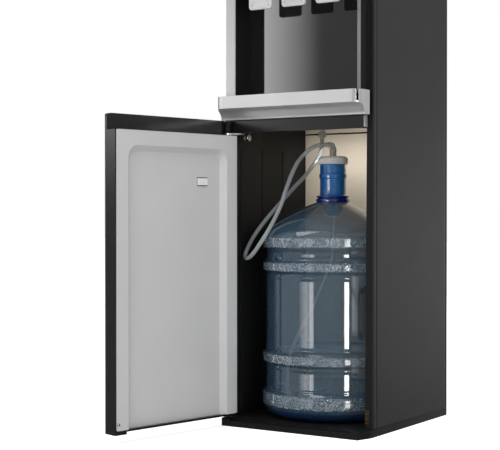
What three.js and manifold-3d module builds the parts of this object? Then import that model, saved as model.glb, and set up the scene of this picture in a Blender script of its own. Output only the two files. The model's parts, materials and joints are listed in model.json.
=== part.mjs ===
// Floor-standing water dispenser: three lever taps over a drip tray, and a bottle bay behind a hinged door.
// Millimetres, +Z up, +X to the right, the front faces -Y.
// The origin is the middle of the plinth's underside, on the floor.
import * as THREE from "three";
import { mergeVertices } from "three/addons/utils/BufferGeometryUtils.js";
import Module from "manifold-3d";

const wasm = await Module();
wasm.setup();

// ---- driving dimensions: cabinet ----
const CABINET_WIDTH = 310;
const CABINET_DEPTH = 350;
const CABINET_HEIGHT = 1045;
const GAP = 0.3; // between pieces that touch
const SHEET = 2; // steel side panels and rear panel
const PLINTH_HEIGHT = 14.5;
const LIP_DROP = 4.5; // the plinth's front edge is this much lower, under the door
const FLOOR_DROP = 1.5; // the bottle bay's floor is sunk by this much
const FRONT_INSET = 10; // the front is narrower than the side panels by this much on each side
const FRAME_CLEARANCE = 3.5; // door's back edge to the flat frame that it closes on
const FRAME_THICKNESS = 5.5; // flat frame's face to the side panels' front edges
const LINER_THICKNESS = 9.7;
const BAY_DEPTH = 305; // front plane to the bay's back wall
const OPENING_TOP = 550;
const CEILING_HEIGHT = 583.3;
const JAMB_DRAFT = 4; // the jambs lean in by this much at the floor
const REAR_RECESS = 28; // the rear panel sits this far in from the side panels' rear edges
const COVER_THICKNESS = 15;

// ---- driving dimensions: door ----
const DOOR_INSET = 8; // in from the cabinet's side, on each side
const DOOR_DEPTH = 34;
const DOOR_WALL = 4;
const DOOR_LIFT = 2; // door's lower edge above the plinth
const FASCIA_THICKNESS = 9.5;
const FASCIA_CLEARANCE = 0.7; // between the fascia and the tray above it
const LINER_LIFT = 8; // liner's lower edge above the door's
const LINER_SHEET = 2;
const DOOR_RIM = 3.5; // thin rim left under the liner
const DOOR_TAB = 26; // deeper block at the door's free end
const LINER_TOP = 544;
const PAN_MARGIN = 26;
const PAN_DEPTH = 10;
const PIN_INSET = 5.5; // hinge axis in from the door's widest edge
const PIN_SETBACK = 14;
const PIN_RADIUS = 2.5;
const PIN_CLEARANCE = 0.3;
const DOOR_OPEN_DEG = 101.3;

// ---- driving dimensions: tray and alcove ----
const HOUSING_INSET = 12.2;
const HOUSING_SETBACK = 12.2;
const ALCOVE_INSET = 24.6;
const ALCOVE_DEPTH = 75;
const ALCOVE_TOP = 838;
const TRAY_INSET = 2;
const TRAY_OVERHANG = 12; // proud of the front plane
const TRAY_SIDE_END = 29;
const TRAY_CORNER = 18;
const TRAY_BOTTOM = 574;
const TRAY_FACE_BOTTOM = 594;
const TRAY_TOP = 617;
const TRAY_WALL = 4;
const TRAY_FLOOR = 3;
const COVE_RUN = 23.5; // the hollow under the tray's face goes back this far
const CUP_DEPTH = 15;
const TRIM_THICKNESS = 1.5;

// ---- driving dimensions: taps ----
const TAP_SPACING = 72;
const PADDLE_WIDTH = 50;
const PADDLE_THICKNESS = 5;
const PADDLE_BOTTOM = 778;
const PADDLE_SETBACK = 20;
const PADDLE_PIVOT_HEIGHT = 866;
const NOZZLE_SETBACK = 48;
const NOZZLE_RADIUS = 9;
const NOZZLE_BORE = 3.5;
const NOZZLE_BOTTOM = 805;
const SHAFT_RADIUS = 2;

// ---- driving dimensions: bottle and feed line ----
const BOTTLE_RADIUS = 136;
const BOTTLE_WALL = 2;
const BOTTLE_SETBACK = 168; // front plane to the bottle's axis
const BOTTLE_BODY_HEIGHT = 341; // floor of the bottle to the shoulder
const BOTTLE_HEIGHT = 480;
const NECK_RADIUS = 25;
const CAP_RADIUS = 29;
const CAP_HEIGHT = 14.7;
const HOSE_RADIUS = 4;
const ROUTE_FLOOR = 13.3; // the feed line's heights are given for a bay floor at this height

// ---- values worked out from the driving dimensions ----
const HALF = CABINET_WIDTH / 2;
const FRONT = -CABINET_DEPTH / 2;
const BACK = CABINET_DEPTH / 2;
const FRONT_HALF = HALF - FRONT_INSET;
const DOOR_HALF_WIDTH = HALF - DOOR_INSET;
const HOUSING_HALF_WIDTH = HALF - HOUSING_INSET;
const ALCOVE_HALF_WIDTH = HALF - ALCOVE_INSET;
const TRAY_HALF_WIDTH = HALF - TRAY_INSET;
const LIP_HEIGHT = PLINTH_HEIGHT - LIP_DROP;
const FLOOR_HEIGHT = PLINTH_HEIGHT - FLOOR_DROP;
const FRAME_SETBACK = DOOR_DEPTH + FRAME_CLEARANCE;
const PANEL_SETBACK = FRAME_SETBACK + FRAME_THICKNESS;
const DOOR_BOTTOM = PLINTH_HEIGHT + DOOR_LIFT;
const LINER_BOTTOM = DOOR_BOTTOM + LINER_LIFT;
const PANEL_INNER = HALF - SHEET;
const LINER_OUTER = PANEL_INNER - GAP;
const BAY_HALF = LINER_OUTER - LINER_THICKNESS;
const PANEL_BOTTOM = PLINTH_HEIGHT + GAP;
const PANEL_TOP = CABINET_HEIGHT - COVER_THICKNESS - GAP;
const BAY_FLOOR = FLOOR_HEIGHT + GAP;
const LIFT = BAY_FLOOR - ROUTE_FLOOR;
const FASCIA_TOP = TRAY_BOTTOM - FASCIA_CLEARANCE;
const PIN_X = -DOOR_HALF_WIDTH + PIN_INSET;
const REAR_Y = BACK - REAR_RECESS;
const CHEEK_BOTTOM = TRAY_FACE_BOTTOM + 3.5;
const CUP_BOTTOM = CHEEK_BOTTOM - 0.2;
const BOTTLE_BASE = BAY_FLOOR;
const NECK_TOP = BOTTLE_BASE + BOTTLE_HEIGHT;
const CAP_BOTTOM = NECK_TOP + GAP;
const CAP_TOP = CAP_BOTTOM + CAP_HEIGHT;

const fromFront = (distance) => FRONT + distance;
const around = (middle, size) => [middle - size / 2, middle + size / 2];
const SIDES = [[-1, "left"], [1, "right"]];

// ---- solids ----

/** A closed three.js geometry as a manifold solid. */
function solid(geometry) {
  const bare = geometry.clone();
  bare.deleteAttribute("normal");
  bare.deleteAttribute("uv");
  const merged = mergeVertices(bare, 1e-4);
  return new wasm.Manifold(
    new wasm.Mesh({
      numProp: 3,
      vertProperties: new Float32Array(merged.attributes.position.array),
      triVerts: new Uint32Array(merged.index.array),
    }),
  );
}

/** A manifold solid as a three.js geometry. */
function geometryOf(manifold) {
  const result = manifold.getMesh();
  const geometry = new THREE.BufferGeometry();
  const positions = new Float32Array(result.numVert * 3);
  for (let i = 0; i < result.numVert; i += 1) {
    for (let k = 0; k < 3; k += 1) {
      positions[3 * i + k] = result.vertProperties[result.numProp * i + k];
    }
  }
  geometry.setAttribute("position", new THREE.BufferAttribute(positions, 3));
  geometry.setIndex(new THREE.BufferAttribute(new Uint32Array(result.triVerts), 1));
  geometry.computeVertexNormals();
  return geometry;
}

/** A box between two values on each axis. */
function slab([x0, x1], [y0, y1], [z0, z1]) {
  const geometry = new THREE.BoxGeometry(x1 - x0, y1 - y0, z1 - z0);
  geometry.translate((x0 + x1) / 2, (y0 + y1) / 2, (z0 + z1) / 2);
  return solid(geometry);
}

/** A plan outline raised from z0 to z1. */
function upright(shape, z0, z1, curveSegments = 6) {
  const options = { depth: z1 - z0, bevelEnabled: false, curveSegments };
  const geometry = new THREE.ExtrudeGeometry(shape, options);
  geometry.translate(0, 0, z0);
  return solid(geometry);
}

/** A front-view outline, x across and z up, made thick from y0 back to y1. */
function facing(shape, y0, y1, curveSegments = 6) {
  const options = { depth: y1 - y0, bevelEnabled: false, curveSegments };
  const geometry = new THREE.ExtrudeGeometry(shape, options);
  geometry.rotateX(Math.PI / 2);
  geometry.translate(0, y1, 0);
  return solid(geometry);
}

/** A side-view outline, y back and z up, made wide from x0 to x1. */
function sideways(shape, x0, x1, curveSegments = 6) {
  const options = { depth: x1 - x0, bevelEnabled: false, curveSegments };
  const geometry = new THREE.ExtrudeGeometry(shape, options);
  geometry.rotateX(Math.PI / 2);
  geometry.rotateZ(Math.PI / 2);
  geometry.translate(x0, 0, 0);
  return solid(geometry);
}

/** A profile of [radius, z] points turned about a vertical axis through x, y. */
function turned(profile, x, y, segments = 24) {
  const points = profile.map(([r, z]) => new THREE.Vector2(r, z));
  const geometry = new THREE.LatheGeometry(points, segments);
  geometry.rotateX(Math.PI / 2);
  geometry.translate(x, y, 0);
  return solid(geometry);
}

/** A round bar from one point to another. */
function rod(from, to, radius, segments = 16) {
  const start = new THREE.Vector3(...from);
  const end = new THREE.Vector3(...to);
  const geometry = new THREE.CylinderGeometry(radius, radius, start.distanceTo(end), segments);
  const turn = new THREE.Quaternion().setFromUnitVectors(
    new THREE.Vector3(0, 1, 0),
    end.clone().sub(start).normalize(),
  );
  geometry.applyQuaternion(turn);
  const middle = start.add(end).multiplyScalar(0.5);
  geometry.translate(middle.x, middle.y, middle.z);
  return solid(geometry);
}

/** A round tube of solid section along a smooth curve through points. */
function tube(points, radius, steps, sides = 8) {
  const stations = points.map((point) => new THREE.Vector3(...point));
  const extrudePath = new THREE.CatmullRomCurve3(stations, false, "centripetal");
  const section = new THREE.Shape();
  for (let i = 0; i < sides; i += 1) {
    const angle = (2 * Math.PI * i) / sides;
    const place = [radius * Math.cos(angle), radius * Math.sin(angle)];
    if (i === 0) section.moveTo(...place);
    else section.lineTo(...place);
  }
  section.closePath();
  return solid(new THREE.ExtrudeGeometry(section, { steps, bevelEnabled: false, extrudePath }));
}

/** A closed outline through [a, b] points. */
function outline(points) {
  return new THREE.Shape(points.map(([a, b]) => new THREE.Vector2(a, b)));
}

/** A rectangle with round corners, whose radii are for low-low, high-low, high-high and low-high. */
function roundedRectangle([a0, a1], [b0, b1], radii) {
  const [r0, r1, r2, r3] = radii;
  const shape = new THREE.Shape();
  shape.moveTo(a0 + r0, b0);
  shape.lineTo(a1 - r1, b0);
  if (r1) shape.absarc(a1 - r1, b0 + r1, r1, -Math.PI / 2, 0);
  shape.lineTo(a1, b1 - r2);
  if (r2) shape.absarc(a1 - r2, b1 - r2, r2, 0, Math.PI / 2);
  shape.lineTo(a0 + r3, b1);
  if (r3) shape.absarc(a0 + r3, b1 - r3, r3, Math.PI / 2, Math.PI);
  shape.lineTo(a0, b0 + r0);
  if (r0) shape.absarc(a0 + r0, b0 + r0, r0, Math.PI, 1.5 * Math.PI);
  return shape;
}

/** Mirrors a list of [x, y] plan points to the other side, keeping the outline's turning direction. */
const mirrored = (points) => points.map(([x, y]) => [-x, y]).reverse();

// ---- materials ----

const finish = (color, roughness, metalness = 0) => ({ color, roughness, metalness });
const FINISHES = {
  blackSatin: finish(0x29292b, 0.45),
  blackGloss: finish(0x141416, 0.12),
  blackSheet: finish(0x424244, 0.5, 0.2),
  silver: finish(0xc9c9cb, 0.32, 0.8),
  chrome: finish(0xd8d8da, 0.12, 1),
  greyLiner: finish(0xc3c3c5, 0.4),
  beige: finish(0xbeb29f, 0.6),
  brass: finish(0xb58a3a, 0.25, 1),
  steel: finish(0xa8aaad, 0.35, 1),
  clearBlue: finish(0x9fb9d4, 0.08),
  white: finish(0xeeeeee, 0.25),
  hose: finish(0xc9d3d8, 0.2),
  copper: finish(0xb06a3c, 0.35, 1),
  red: finish(0xb02a22, 0.35),
  green: finish(0x2a8a4a, 0.35),
};

const dispenser = new THREE.Group();

/** Adds one named sub-part to a group. */
function add(name, manifold, finishName, parent = dispenser) {
  const material = new THREE.MeshStandardMaterial(FINISHES[finishName]);
  const mesh = new THREE.Mesh(geometryOf(manifold), material);
  mesh.name = name;
  parent.add(mesh);
  return mesh;
}

// ---- plinth and feet ----

const CHAMFER_END = 34; // the plinth reaches its full width this far back
const BLOCK_WIDTH = 17; // raised block at each front corner
const LIP_DEPTH = 12;
const FOOT_RADIUS = 15;
const FOOT_INSET = 30;
const FOOT_HEIGHT = 6;
const PIVOT_DEPTH = 6;

function makePlinth() {
  const plan = outline([
    [-FRONT_HALF, FRONT],
    [FRONT_HALF, FRONT],
    [HALF, fromFront(CHAMFER_END)],
    [HALF, BACK],
    [-HALF, BACK],
    [-HALF, fromFront(CHAMFER_END)],
  ]);
  let plinth = upright(plan, 0, PLINTH_HEIGHT);
  const lip = [fromFront(-1), fromFront(LIP_DEPTH)];
  const blockInner = FRONT_HALF - BLOCK_WIDTH;
  plinth = plinth.subtract(slab([-blockInner, blockInner], lip, [LIP_HEIGHT, PLINTH_HEIGHT + 1]));
  const floor = [fromFront(LIP_DEPTH), fromFront(BAY_DEPTH)];
  plinth = plinth.subtract(slab([-BAY_HALF, BAY_HALF], floor, [FLOOR_HEIGHT, PLINTH_HEIGHT + 1]));
  for (const side of [-1, 1]) {
    const x = side * -PIN_X;
    const y = fromFront(PIN_SETBACK);
    const hole = [[x, y, PLINTH_HEIGHT - PIVOT_DEPTH], [x, y, PLINTH_HEIGHT + 1]];
    plinth = plinth.subtract(rod(...hole, PIN_RADIUS + PIN_CLEARANCE));
    for (const end of [-1, 1]) {
      const at = footPlace(side, end);
      plinth = plinth.subtract(rod([...at, -1], [...at, FOOT_HEIGHT + GAP], FOOT_RADIUS + GAP, 20));
    }
  }
  add("base_plinth", plinth, "blackSatin");
}

function footPlace(side, end) {
  return [side * (HALF - FOOT_INSET), end * (CABINET_DEPTH / 2 - FOOT_INSET)];
}

function makeFeet() {
  for (const [side, sideName] of SIDES) {
    for (const [end, endName] of [[-1, "front"], [1, "rear"]]) {
      const at = footPlace(side, end);
      const foot = rod([...at, 0], [...at, FOOT_HEIGHT], FOOT_RADIUS, 20);
      add(`levelling_foot_${endName}_${sideName}`, foot, "blackSatin");
    }
  }
}

// ---- cabinet shell ----

function makeShell() {
  const depth = [fromFront(PANEL_SETBACK), BACK];
  for (const [side, sideName] of SIDES) {
    const across = (a, b) => (side > 0 ? [a, b] : [-b, -a]);
    const panel = slab(across(PANEL_INNER, HALF), depth, [PANEL_BOTTOM, PANEL_TOP]);
    add(`side_panel_${sideName}`, panel, "blackSheet");
    const linerDepth = [fromFront(PANEL_SETBACK) + GAP, fromFront(BAY_DEPTH) - GAP];
    const liner = slab(across(BAY_HALF, LINER_OUTER), linerDepth, [PANEL_BOTTOM, CEILING_HEIGHT - GAP]);
    add(`bay_liner_${sideName}`, liner, "blackSatin");
  }
  add("rear_panel", makeRearPanel(), "blackSheet");
  add("bay_back_wall", makeBayBack(), "beige");
  add("bay_ceiling", makeBayCeiling(), "beige");
  makeTopCover();
}

const SWITCH_SPACING = 26;
const SWITCH_X = 70;
const SWITCH_Z = 640;
const SWITCH_SIZE = [20, 14];
const INLET_X = -80;
const INLET_Z = 60;
const INLET_SIZE = [28, 21];
const DRAIN_X = 60;
const DRAIN_Z = 300;
const DRAIN_RADIUS = 9;

function makeRearPanel() {
  let panel = slab([-LINER_OUTER, LINER_OUTER], [REAR_Y, REAR_Y + SHEET], [PANEL_BOTTOM, PANEL_TOP]);
  const cutDepth = [REAR_Y - 1, REAR_Y + SHEET + 1];
  const hatch = (x, z, [w, h]) => slab(around(x, w + 2 * GAP), cutDepth, around(z, h + 2 * GAP));
  for (const side of [-1, 1]) {
    panel = panel.subtract(hatch(SWITCH_X + (side * SWITCH_SPACING) / 2, SWITCH_Z, SWITCH_SIZE));
  }
  panel = panel.subtract(hatch(INLET_X, INLET_Z, INLET_SIZE));
  const drain = [[DRAIN_X, cutDepth[0], DRAIN_Z], [DRAIN_X, cutDepth[1], DRAIN_Z]];
  return panel.subtract(rod(...drain, DRAIN_RADIUS + GAP, 20));
}

const SKIRT_BOTTOM = 563.5;
const SKIRT_DEPTHS = [2, 5]; // behind the back wall's front face
const WALL_SHEET = 4; // bay back wall and ceiling
const WALL_REVEAL = 3; // dark line between the back wall and the skirt
const FITTING_X = -60;
const FITTING_SETBACK = 230;
const FITTING_RADIUS = 5.5;

function makeBayBack() {
  const depth = [fromFront(BAY_DEPTH), fromFront(BAY_DEPTH) + WALL_SHEET];
  return slab([-LINER_OUTER, LINER_OUTER], depth, [PANEL_BOTTOM, SKIRT_BOTTOM - WALL_REVEAL]);
}

function makeBayCeiling() {
  const plate = slab(
    [-LINER_OUTER, LINER_OUTER],
    [fromFront(PANEL_SETBACK) + GAP, REAR_Y - GAP],
    [CEILING_HEIGHT, CEILING_HEIGHT + WALL_SHEET],
  );
  const skirt = slab(
    [-LINER_OUTER, LINER_OUTER],
    SKIRT_DEPTHS.map((behind) => fromFront(BAY_DEPTH) + behind),
    [SKIRT_BOTTOM, CEILING_HEIGHT + 1],
  );
  const x = FITTING_X;
  const y = fromFront(FITTING_SETBACK);
  const hole = [[x, y, CEILING_HEIGHT - 1], [x, y, CEILING_HEIGHT + WALL_SHEET + 1]];
  return plate.add(skirt).subtract(rod(...hole, FITTING_RADIUS + GAP));
}

const COVER_BEVEL = 3;

function makeTopCover() {
  const plan = outline([
    [-HOUSING_HALF_WIDTH, fromFront(HOUSING_SETBACK)],
    [HOUSING_HALF_WIDTH, fromFront(HOUSING_SETBACK)],
    [HALF, fromFront(PANEL_SETBACK)],
    [HALF, BACK],
    [-HALF, BACK],
    [-HALF, fromFront(PANEL_SETBACK)],
  ]);
  const bevel = COVER_BEVEL;
  const geometry = new THREE.ExtrudeGeometry(plan, {
    depth: COVER_THICKNESS - bevel,
    bevelThickness: bevel,
    bevelSize: bevel,
    bevelOffset: -bevel,
    bevelSegments: 2,
  });
  geometry.translate(0, 0, CABINET_HEIGHT - COVER_THICKNESS);
  const below = slab([-HALF - 1, HALF + 1], [FRONT - 1, BACK + 1], [0, CABINET_HEIGHT - COVER_THICKNESS]);
  add("top_cover", solid(geometry).subtract(below), "blackSatin");
}

// ---- front frame ----

const HEADER_SETBACK = DOOR_DEPTH - 10;
const HEADER_TOP = TRAY_BOTTOM - GAP;
const JAMB_HALF = HALF - 0.2;
const CATCH_X = DOOR_HALF_WIDTH - 4;
const CATCH_Z = 36;
const CATCH_SIZE = [7, 24];
const CATCH_SKIN = 0.6; // metal left behind each pocket
const BALL_RADIUS = 1.8;
const BALL_OFFSET = 3.9;
const BALL_PROUD = 0.4;
const STRIKE_PROFILE = [
  [0, 0],
  [2.2, 0],
  [2.2, 0.6],
  [1.5, 0.6],
  [1.5, 3],
  [2.3, 3.7],
  [1.4, 4.3],
  [0, 4.3],
];

function makeFrame() {
  const depth = [fromFront(FRAME_SETBACK), fromFront(PANEL_SETBACK) - GAP];
  for (const [side, sideName] of SIDES) {
    const points = [
      [BAY_HALF - JAMB_DRAFT, PANEL_BOTTOM],
      [JAMB_HALF, PANEL_BOTTOM],
      [JAMB_HALF, CHEEK_BOTTOM - GAP],
      [BAY_HALF + GAP, CHEEK_BOTTOM - GAP],
      [BAY_HALF + GAP, OPENING_TOP],
    ];
    let jamb = facing(outline(side > 0 ? points : mirrored(points)), ...depth);
    if (side > 0) {
      const [w, h] = CATCH_SIZE.map((size) => size + 2 * GAP);
      const pocketDepth = [depth[0] - 1, depth[1] - CATCH_SKIN];
      jamb = jamb.subtract(slab(around(CATCH_X, w), pocketDepth, around(CATCH_Z, h)));
    }
    add(`door_jamb_${sideName}`, jamb, "blackSatin");
  }
  const headerDepth = [fromFront(HEADER_SETBACK), fromFront(PANEL_SETBACK) - GAP];
  const header = slab([-BAY_HALF, BAY_HALF], headerDepth, [OPENING_TOP, HEADER_TOP]);
  add("header_panel", header, "blackGloss");
  makeCatch(...depth);
}

/** A brass case let into the right jamb, between front y0 and back y1, and its two sprung balls. */
function makeCatch(y0, y1) {
  const [w, h] = CATCH_SIZE;
  const rear = y1 - CATCH_SKIN - GAP;
  const pocket = slab(
    around(CATCH_X, 2 * (BALL_RADIUS + GAP + CATCH_SKIN)),
    [y0 - 1, rear - CATCH_SKIN],
    around(CATCH_Z, h - 4),
  );
  const body = slab(around(CATCH_X, w), [y0, rear], around(CATCH_Z, h));
  add("ball_catch_case", body.subtract(pocket), "brass");
  for (const [side, name] of [[-1, "catch_ball_lower"], [1, "catch_ball_upper"]]) {
    const ball = new THREE.SphereGeometry(BALL_RADIUS, 12, 8);
    ball.translate(CATCH_X, y0 + BALL_RADIUS - BALL_PROUD, CATCH_Z + side * BALL_OFFSET);
    add(name, solid(ball), "brass");
  }
}

// ---- hinge ----

const BRACKET_BOTTOM = 546.6;
const BRACKET_TOP = OPENING_TOP - GAP;
const BRACKET_EYE = 4.3;
const BRACKET_REACH = 22;
const BRACKET_FOOT = 12;
const PIN_ENGAGEMENT = 8; // length of the upper pin inside the door

function makeHinges() {
  const x = PIN_X;
  const y = fromFront(PIN_SETBACK);
  const lower = [[x, y, PLINTH_HEIGHT - PIVOT_DEPTH + GAP], [x, y, LINER_BOTTOM - 1]];
  add("hinge_pin_lower", rod(...lower, PIN_RADIUS), "steel");
  const upper = [[x, y, LINER_TOP - PIN_ENGAGEMENT], [x, y, OPENING_TOP + 1]];
  add("hinge_pin_upper", rod(...upper, PIN_RADIUS), "steel");
  const rear = fromFront(FRAME_SETBACK) - GAP;
  const arm = outline([
    [x, y - BRACKET_EYE],
    [x + BRACKET_REACH, rear - BRACKET_FOOT],
    [x + BRACKET_REACH, rear],
    [x + 3, rear],
    [x - BRACKET_EYE + 0.5, y + 1],
  ]);
  const eye = rod([x, y, BRACKET_BOTTOM], [x, y, BRACKET_TOP], BRACKET_EYE, 20);
  const bore = [[x, y, BRACKET_BOTTOM - 1], [x, y, BRACKET_TOP + 1]];
  const bracket = upright(arm, BRACKET_BOTTOM, BRACKET_TOP).add(eye);
  add("hinge_bracket", bracket.subtract(rod(...bore, PIN_RADIUS + PIN_CLEARANCE)), "steel");
}

// ---- door: built closed about the hinge axis, then swung open ----

const TOP_CORNER = 14;
const SIDE_CORNER = 6;
const FRONT_NARROWING = 2;
const LINER_FRONT = DOOR_DEPTH + GAP;
const PAN_CORNER = 22;
const MAGNET_X = -64;
const MAGNET_Z = 457;
const MAGNET_SIZE = [24, 13, 3];

function makeDoor() {
  const door = new THREE.Group();
  door.position.set(PIN_X, fromFront(PIN_SETBACK), 0);
  door.rotation.z = -THREE.MathUtils.degToRad(DOOR_OPEN_DEG);
  dispenser.add(door);
  const toHinge = (part) => part.translate([-PIN_X, -fromFront(PIN_SETBACK), 0]);
  add("door_shell", toHinge(makeDoorShell()), "blackGloss", door);
  add("door_liner", toHinge(makeDoorLiner()), "greyLiner", door);
  const [w, h, t] = MAGNET_SIZE;
  const linerFace = fromFront(LINER_FRONT + LINER_SHEET);
  const magnetY = linerFace - PAN_DEPTH + GAP;
  const magnet = slab(around(MAGNET_X, w), [magnetY, magnetY + t], around(MAGNET_Z, h));
  add("door_sensor_magnet", toHinge(magnet), "white", door);
  const strike = turnedAlongY(STRIKE_PROFILE, CATCH_X, linerFace + GAP / 2, CATCH_Z);
  add("catch_strike", toHinge(strike), "steel", door);
}

/** A profile of [radius, distance] points turned about an axis that runs back along +Y. */
function turnedAlongY(profile, x, y, z, segments = 16) {
  const points = profile.map(([radius, distance]) => new THREE.Vector2(radius, distance));
  const geometry = new THREE.LatheGeometry(points, segments);
  geometry.translate(x, y, z);
  return solid(geometry);
}

function makeDoorShell() {
  const front = DOOR_HALF_WIDTH - FRONT_NARROWING;
  const plan = new THREE.Shape();
  const corner = SIDE_CORNER;
  plan.moveTo(-DOOR_HALF_WIDTH, fromFront(DOOR_DEPTH));
  plan.lineTo(-front, fromFront(corner));
  plan.absarc(-front + corner, fromFront(corner), corner, Math.PI, 1.5 * Math.PI);
  plan.lineTo(front - corner, FRONT);
  plan.absarc(front - corner, fromFront(corner), corner, 1.5 * Math.PI, 2 * Math.PI);
  plan.lineTo(DOOR_HALF_WIDTH, fromFront(DOOR_DEPTH));
  plan.closePath();
  let shell = upright(plan, DOOR_BOTTOM, FASCIA_TOP, 4);
  const above = [LINER_TOP, FASCIA_TOP + 1];
  const behindFascia = [fromFront(FASCIA_THICKNESS), fromFront(DOOR_DEPTH + 1)];
  shell = shell.subtract(slab([-HALF, HALF], behindFascia, above));
  const edge = DOOR_HALF_WIDTH + 1;
  const corners = [0, 0, TOP_CORNER, TOP_CORNER];
  const rounded = roundedRectangle([-edge, edge], [DOOR_BOTTOM - 1, FASCIA_TOP], corners);
  shell = shell.intersect(facing(rounded, fromFront(-1), fromFront(DOOR_DEPTH + 1)));
  const inner = DOOR_HALF_WIDTH - FRONT_NARROWING - DOOR_WALL;
  const pinBlock = PIN_INSET + PIN_RADIUS + DOOR_WALL;
  shell = shell.subtract(slab(
    [-DOOR_HALF_WIDTH + pinBlock, inner],
    [fromFront(DOOR_WALL), fromFront(DOOR_DEPTH + 1)],
    [LINER_BOTTOM - GAP, LINER_TOP - DOOR_WALL],
  ));
  shell = shell.subtract(slab(
    [-DOOR_HALF_WIDTH + pinBlock, DOOR_HALF_WIDTH - DOOR_TAB],
    [fromFront(DOOR_WALL), fromFront(DOOR_DEPTH + 1)],
    [DOOR_BOTTOM - 1, LINER_BOTTOM - DOOR_RIM],
  ));
  const x = PIN_X;
  const y = fromFront(PIN_SETBACK);
  const radius = PIN_RADIUS + PIN_CLEARANCE;
  shell = shell.subtract(rod([x, y, DOOR_BOTTOM - 1], [x, y, LINER_BOTTOM], radius));
  const upperHole = [[x, y, LINER_TOP - PIN_ENGAGEMENT - 1], [x, y, LINER_TOP + 1]];
  return shell.subtract(rod(...upperHole, radius));
}

/** A flat sheet with a shallow pan pressed into it, which runs out at the lower edge. */
function makeDoorLiner() {
  const half = DOOR_HALF_WIDTH - 2;
  const y0 = fromFront(LINER_FRONT);
  const y1 = y0 + LINER_SHEET;
  const flat = facing(roundedRectangle([-half, half], [LINER_BOTTOM, LINER_TOP], [3, 3, 3, 3]), y0, y1);
  const pan = (inset) => [
    [-half + PAN_MARGIN + inset, half - PAN_MARGIN - inset],
    [LINER_BOTTOM - 2 * PAN_CORNER, LINER_TOP - PAN_MARGIN - inset],
  ];
  const back = panSolid(pan(-LINER_SHEET), y0 + LINER_SHEET / 4, y1 - PAN_DEPTH - LINER_SHEET);
  const above = slab([-HALF, HALF], [FRONT, fromFront(PANEL_SETBACK)], [LINER_BOTTOM, LINER_TOP]);
  return flat.add(back.intersect(above)).subtract(panSolid(pan(0), y1 + 0.01, y1 - PAN_DEPTH));
}

/** A round-cornered block whose sides slope at 45 degrees, wide at the mouth y and narrow at the floor y. */
function panSolid([[x0, x1], [z0, z1]], mouth, floor) {
  const run = mouth - floor;
  const corner = PAN_CORNER;
  const wide = roundedRectangle([x0, x1], [z0, z1], Array(4).fill(corner));
  const narrow = roundedRectangle([x0 + run, x1 - run], [z0 + run, z1 - run], Array(4).fill(corner - run));
  const mouthRing = wide.getPoints(5);
  const floorRing = narrow.getPoints(5);
  const count = mouthRing.length - 1;
  const vertices = [];
  for (let i = 0; i < count; i += 1) vertices.push(mouthRing[i].x, mouth, mouthRing[i].y);
  for (let i = 0; i < count; i += 1) vertices.push(floorRing[i].x, floor, floorRing[i].y);
  const faces = [];
  for (let i = 0; i < count; i += 1) {
    const next = (i + 1) % count;
    faces.push(i, next, count + next, i, count + next, count + i);
  }
  for (let i = 1; i < count - 1; i += 1) {
    faces.push(0, i + 1, i);
    faces.push(count, count + i, count + i + 1);
  }
  const geometry = new THREE.BufferGeometry();
  geometry.setAttribute("position", new THREE.Float32BufferAttribute(vertices, 3));
  geometry.setIndex(faces);
  return solid(geometry);
}

// ---- drip tray ----

function makeTray() {
  const y0 = fromFront(-TRAY_OVERHANG);
  const side = fromFront(TRAY_SIDE_END);
  const w = TRAY_HALF_WIDTH;
  const plan = roundedRectangle([-w, w], [y0, side], [TRAY_CORNER, TRAY_CORNER, 0, 0]);
  let tray = upright(plan, TRAY_BOTTOM, TRAY_TOP, 8);
  const cove = new THREE.Shape();
  cove.moveTo(y0 - 1, TRAY_BOTTOM - 1);
  cove.lineTo(y0 + COVE_RUN, TRAY_BOTTOM - 1);
  cove.lineTo(y0 + COVE_RUN, TRAY_BOTTOM);
  cove.absellipse(y0, TRAY_BOTTOM, COVE_RUN, TRAY_FACE_BOTTOM - TRAY_BOTTOM, 0, Math.PI / 2);
  cove.lineTo(y0 - 1, TRAY_FACE_BOTTOM);
  tray = tray.subtract(sideways(cove, -w - 1, w + 1, 10));
  const inner = w - TRAY_WALL;
  const wells = [
    [TRAY_WALL, TRAY_FACE_BOTTOM],
    [COVE_RUN + TRAY_WALL - 0.5, TRAY_BOTTOM],
  ];
  for (const [back, floor] of wells) {
    const well = slab([-inner, inner], [y0 + back, side + 1], [floor + TRAY_FLOOR, TRAY_TOP + 1]);
    tray = tray.subtract(well);
  }
  add("drip_tray_shell", tray, "silver");
  makeCup(y0 + TRAY_WALL + GAP);
}

const GRILLE_THICKNESS = 4;
const GRILLE_SLOT = 5;
const GRILLE_PITCH = 11;
const GRILLE_RIM = 10;
const CUP_WALL = 2.5;
const CUP_CORNERS = [8, 8, 4, 4];

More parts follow.
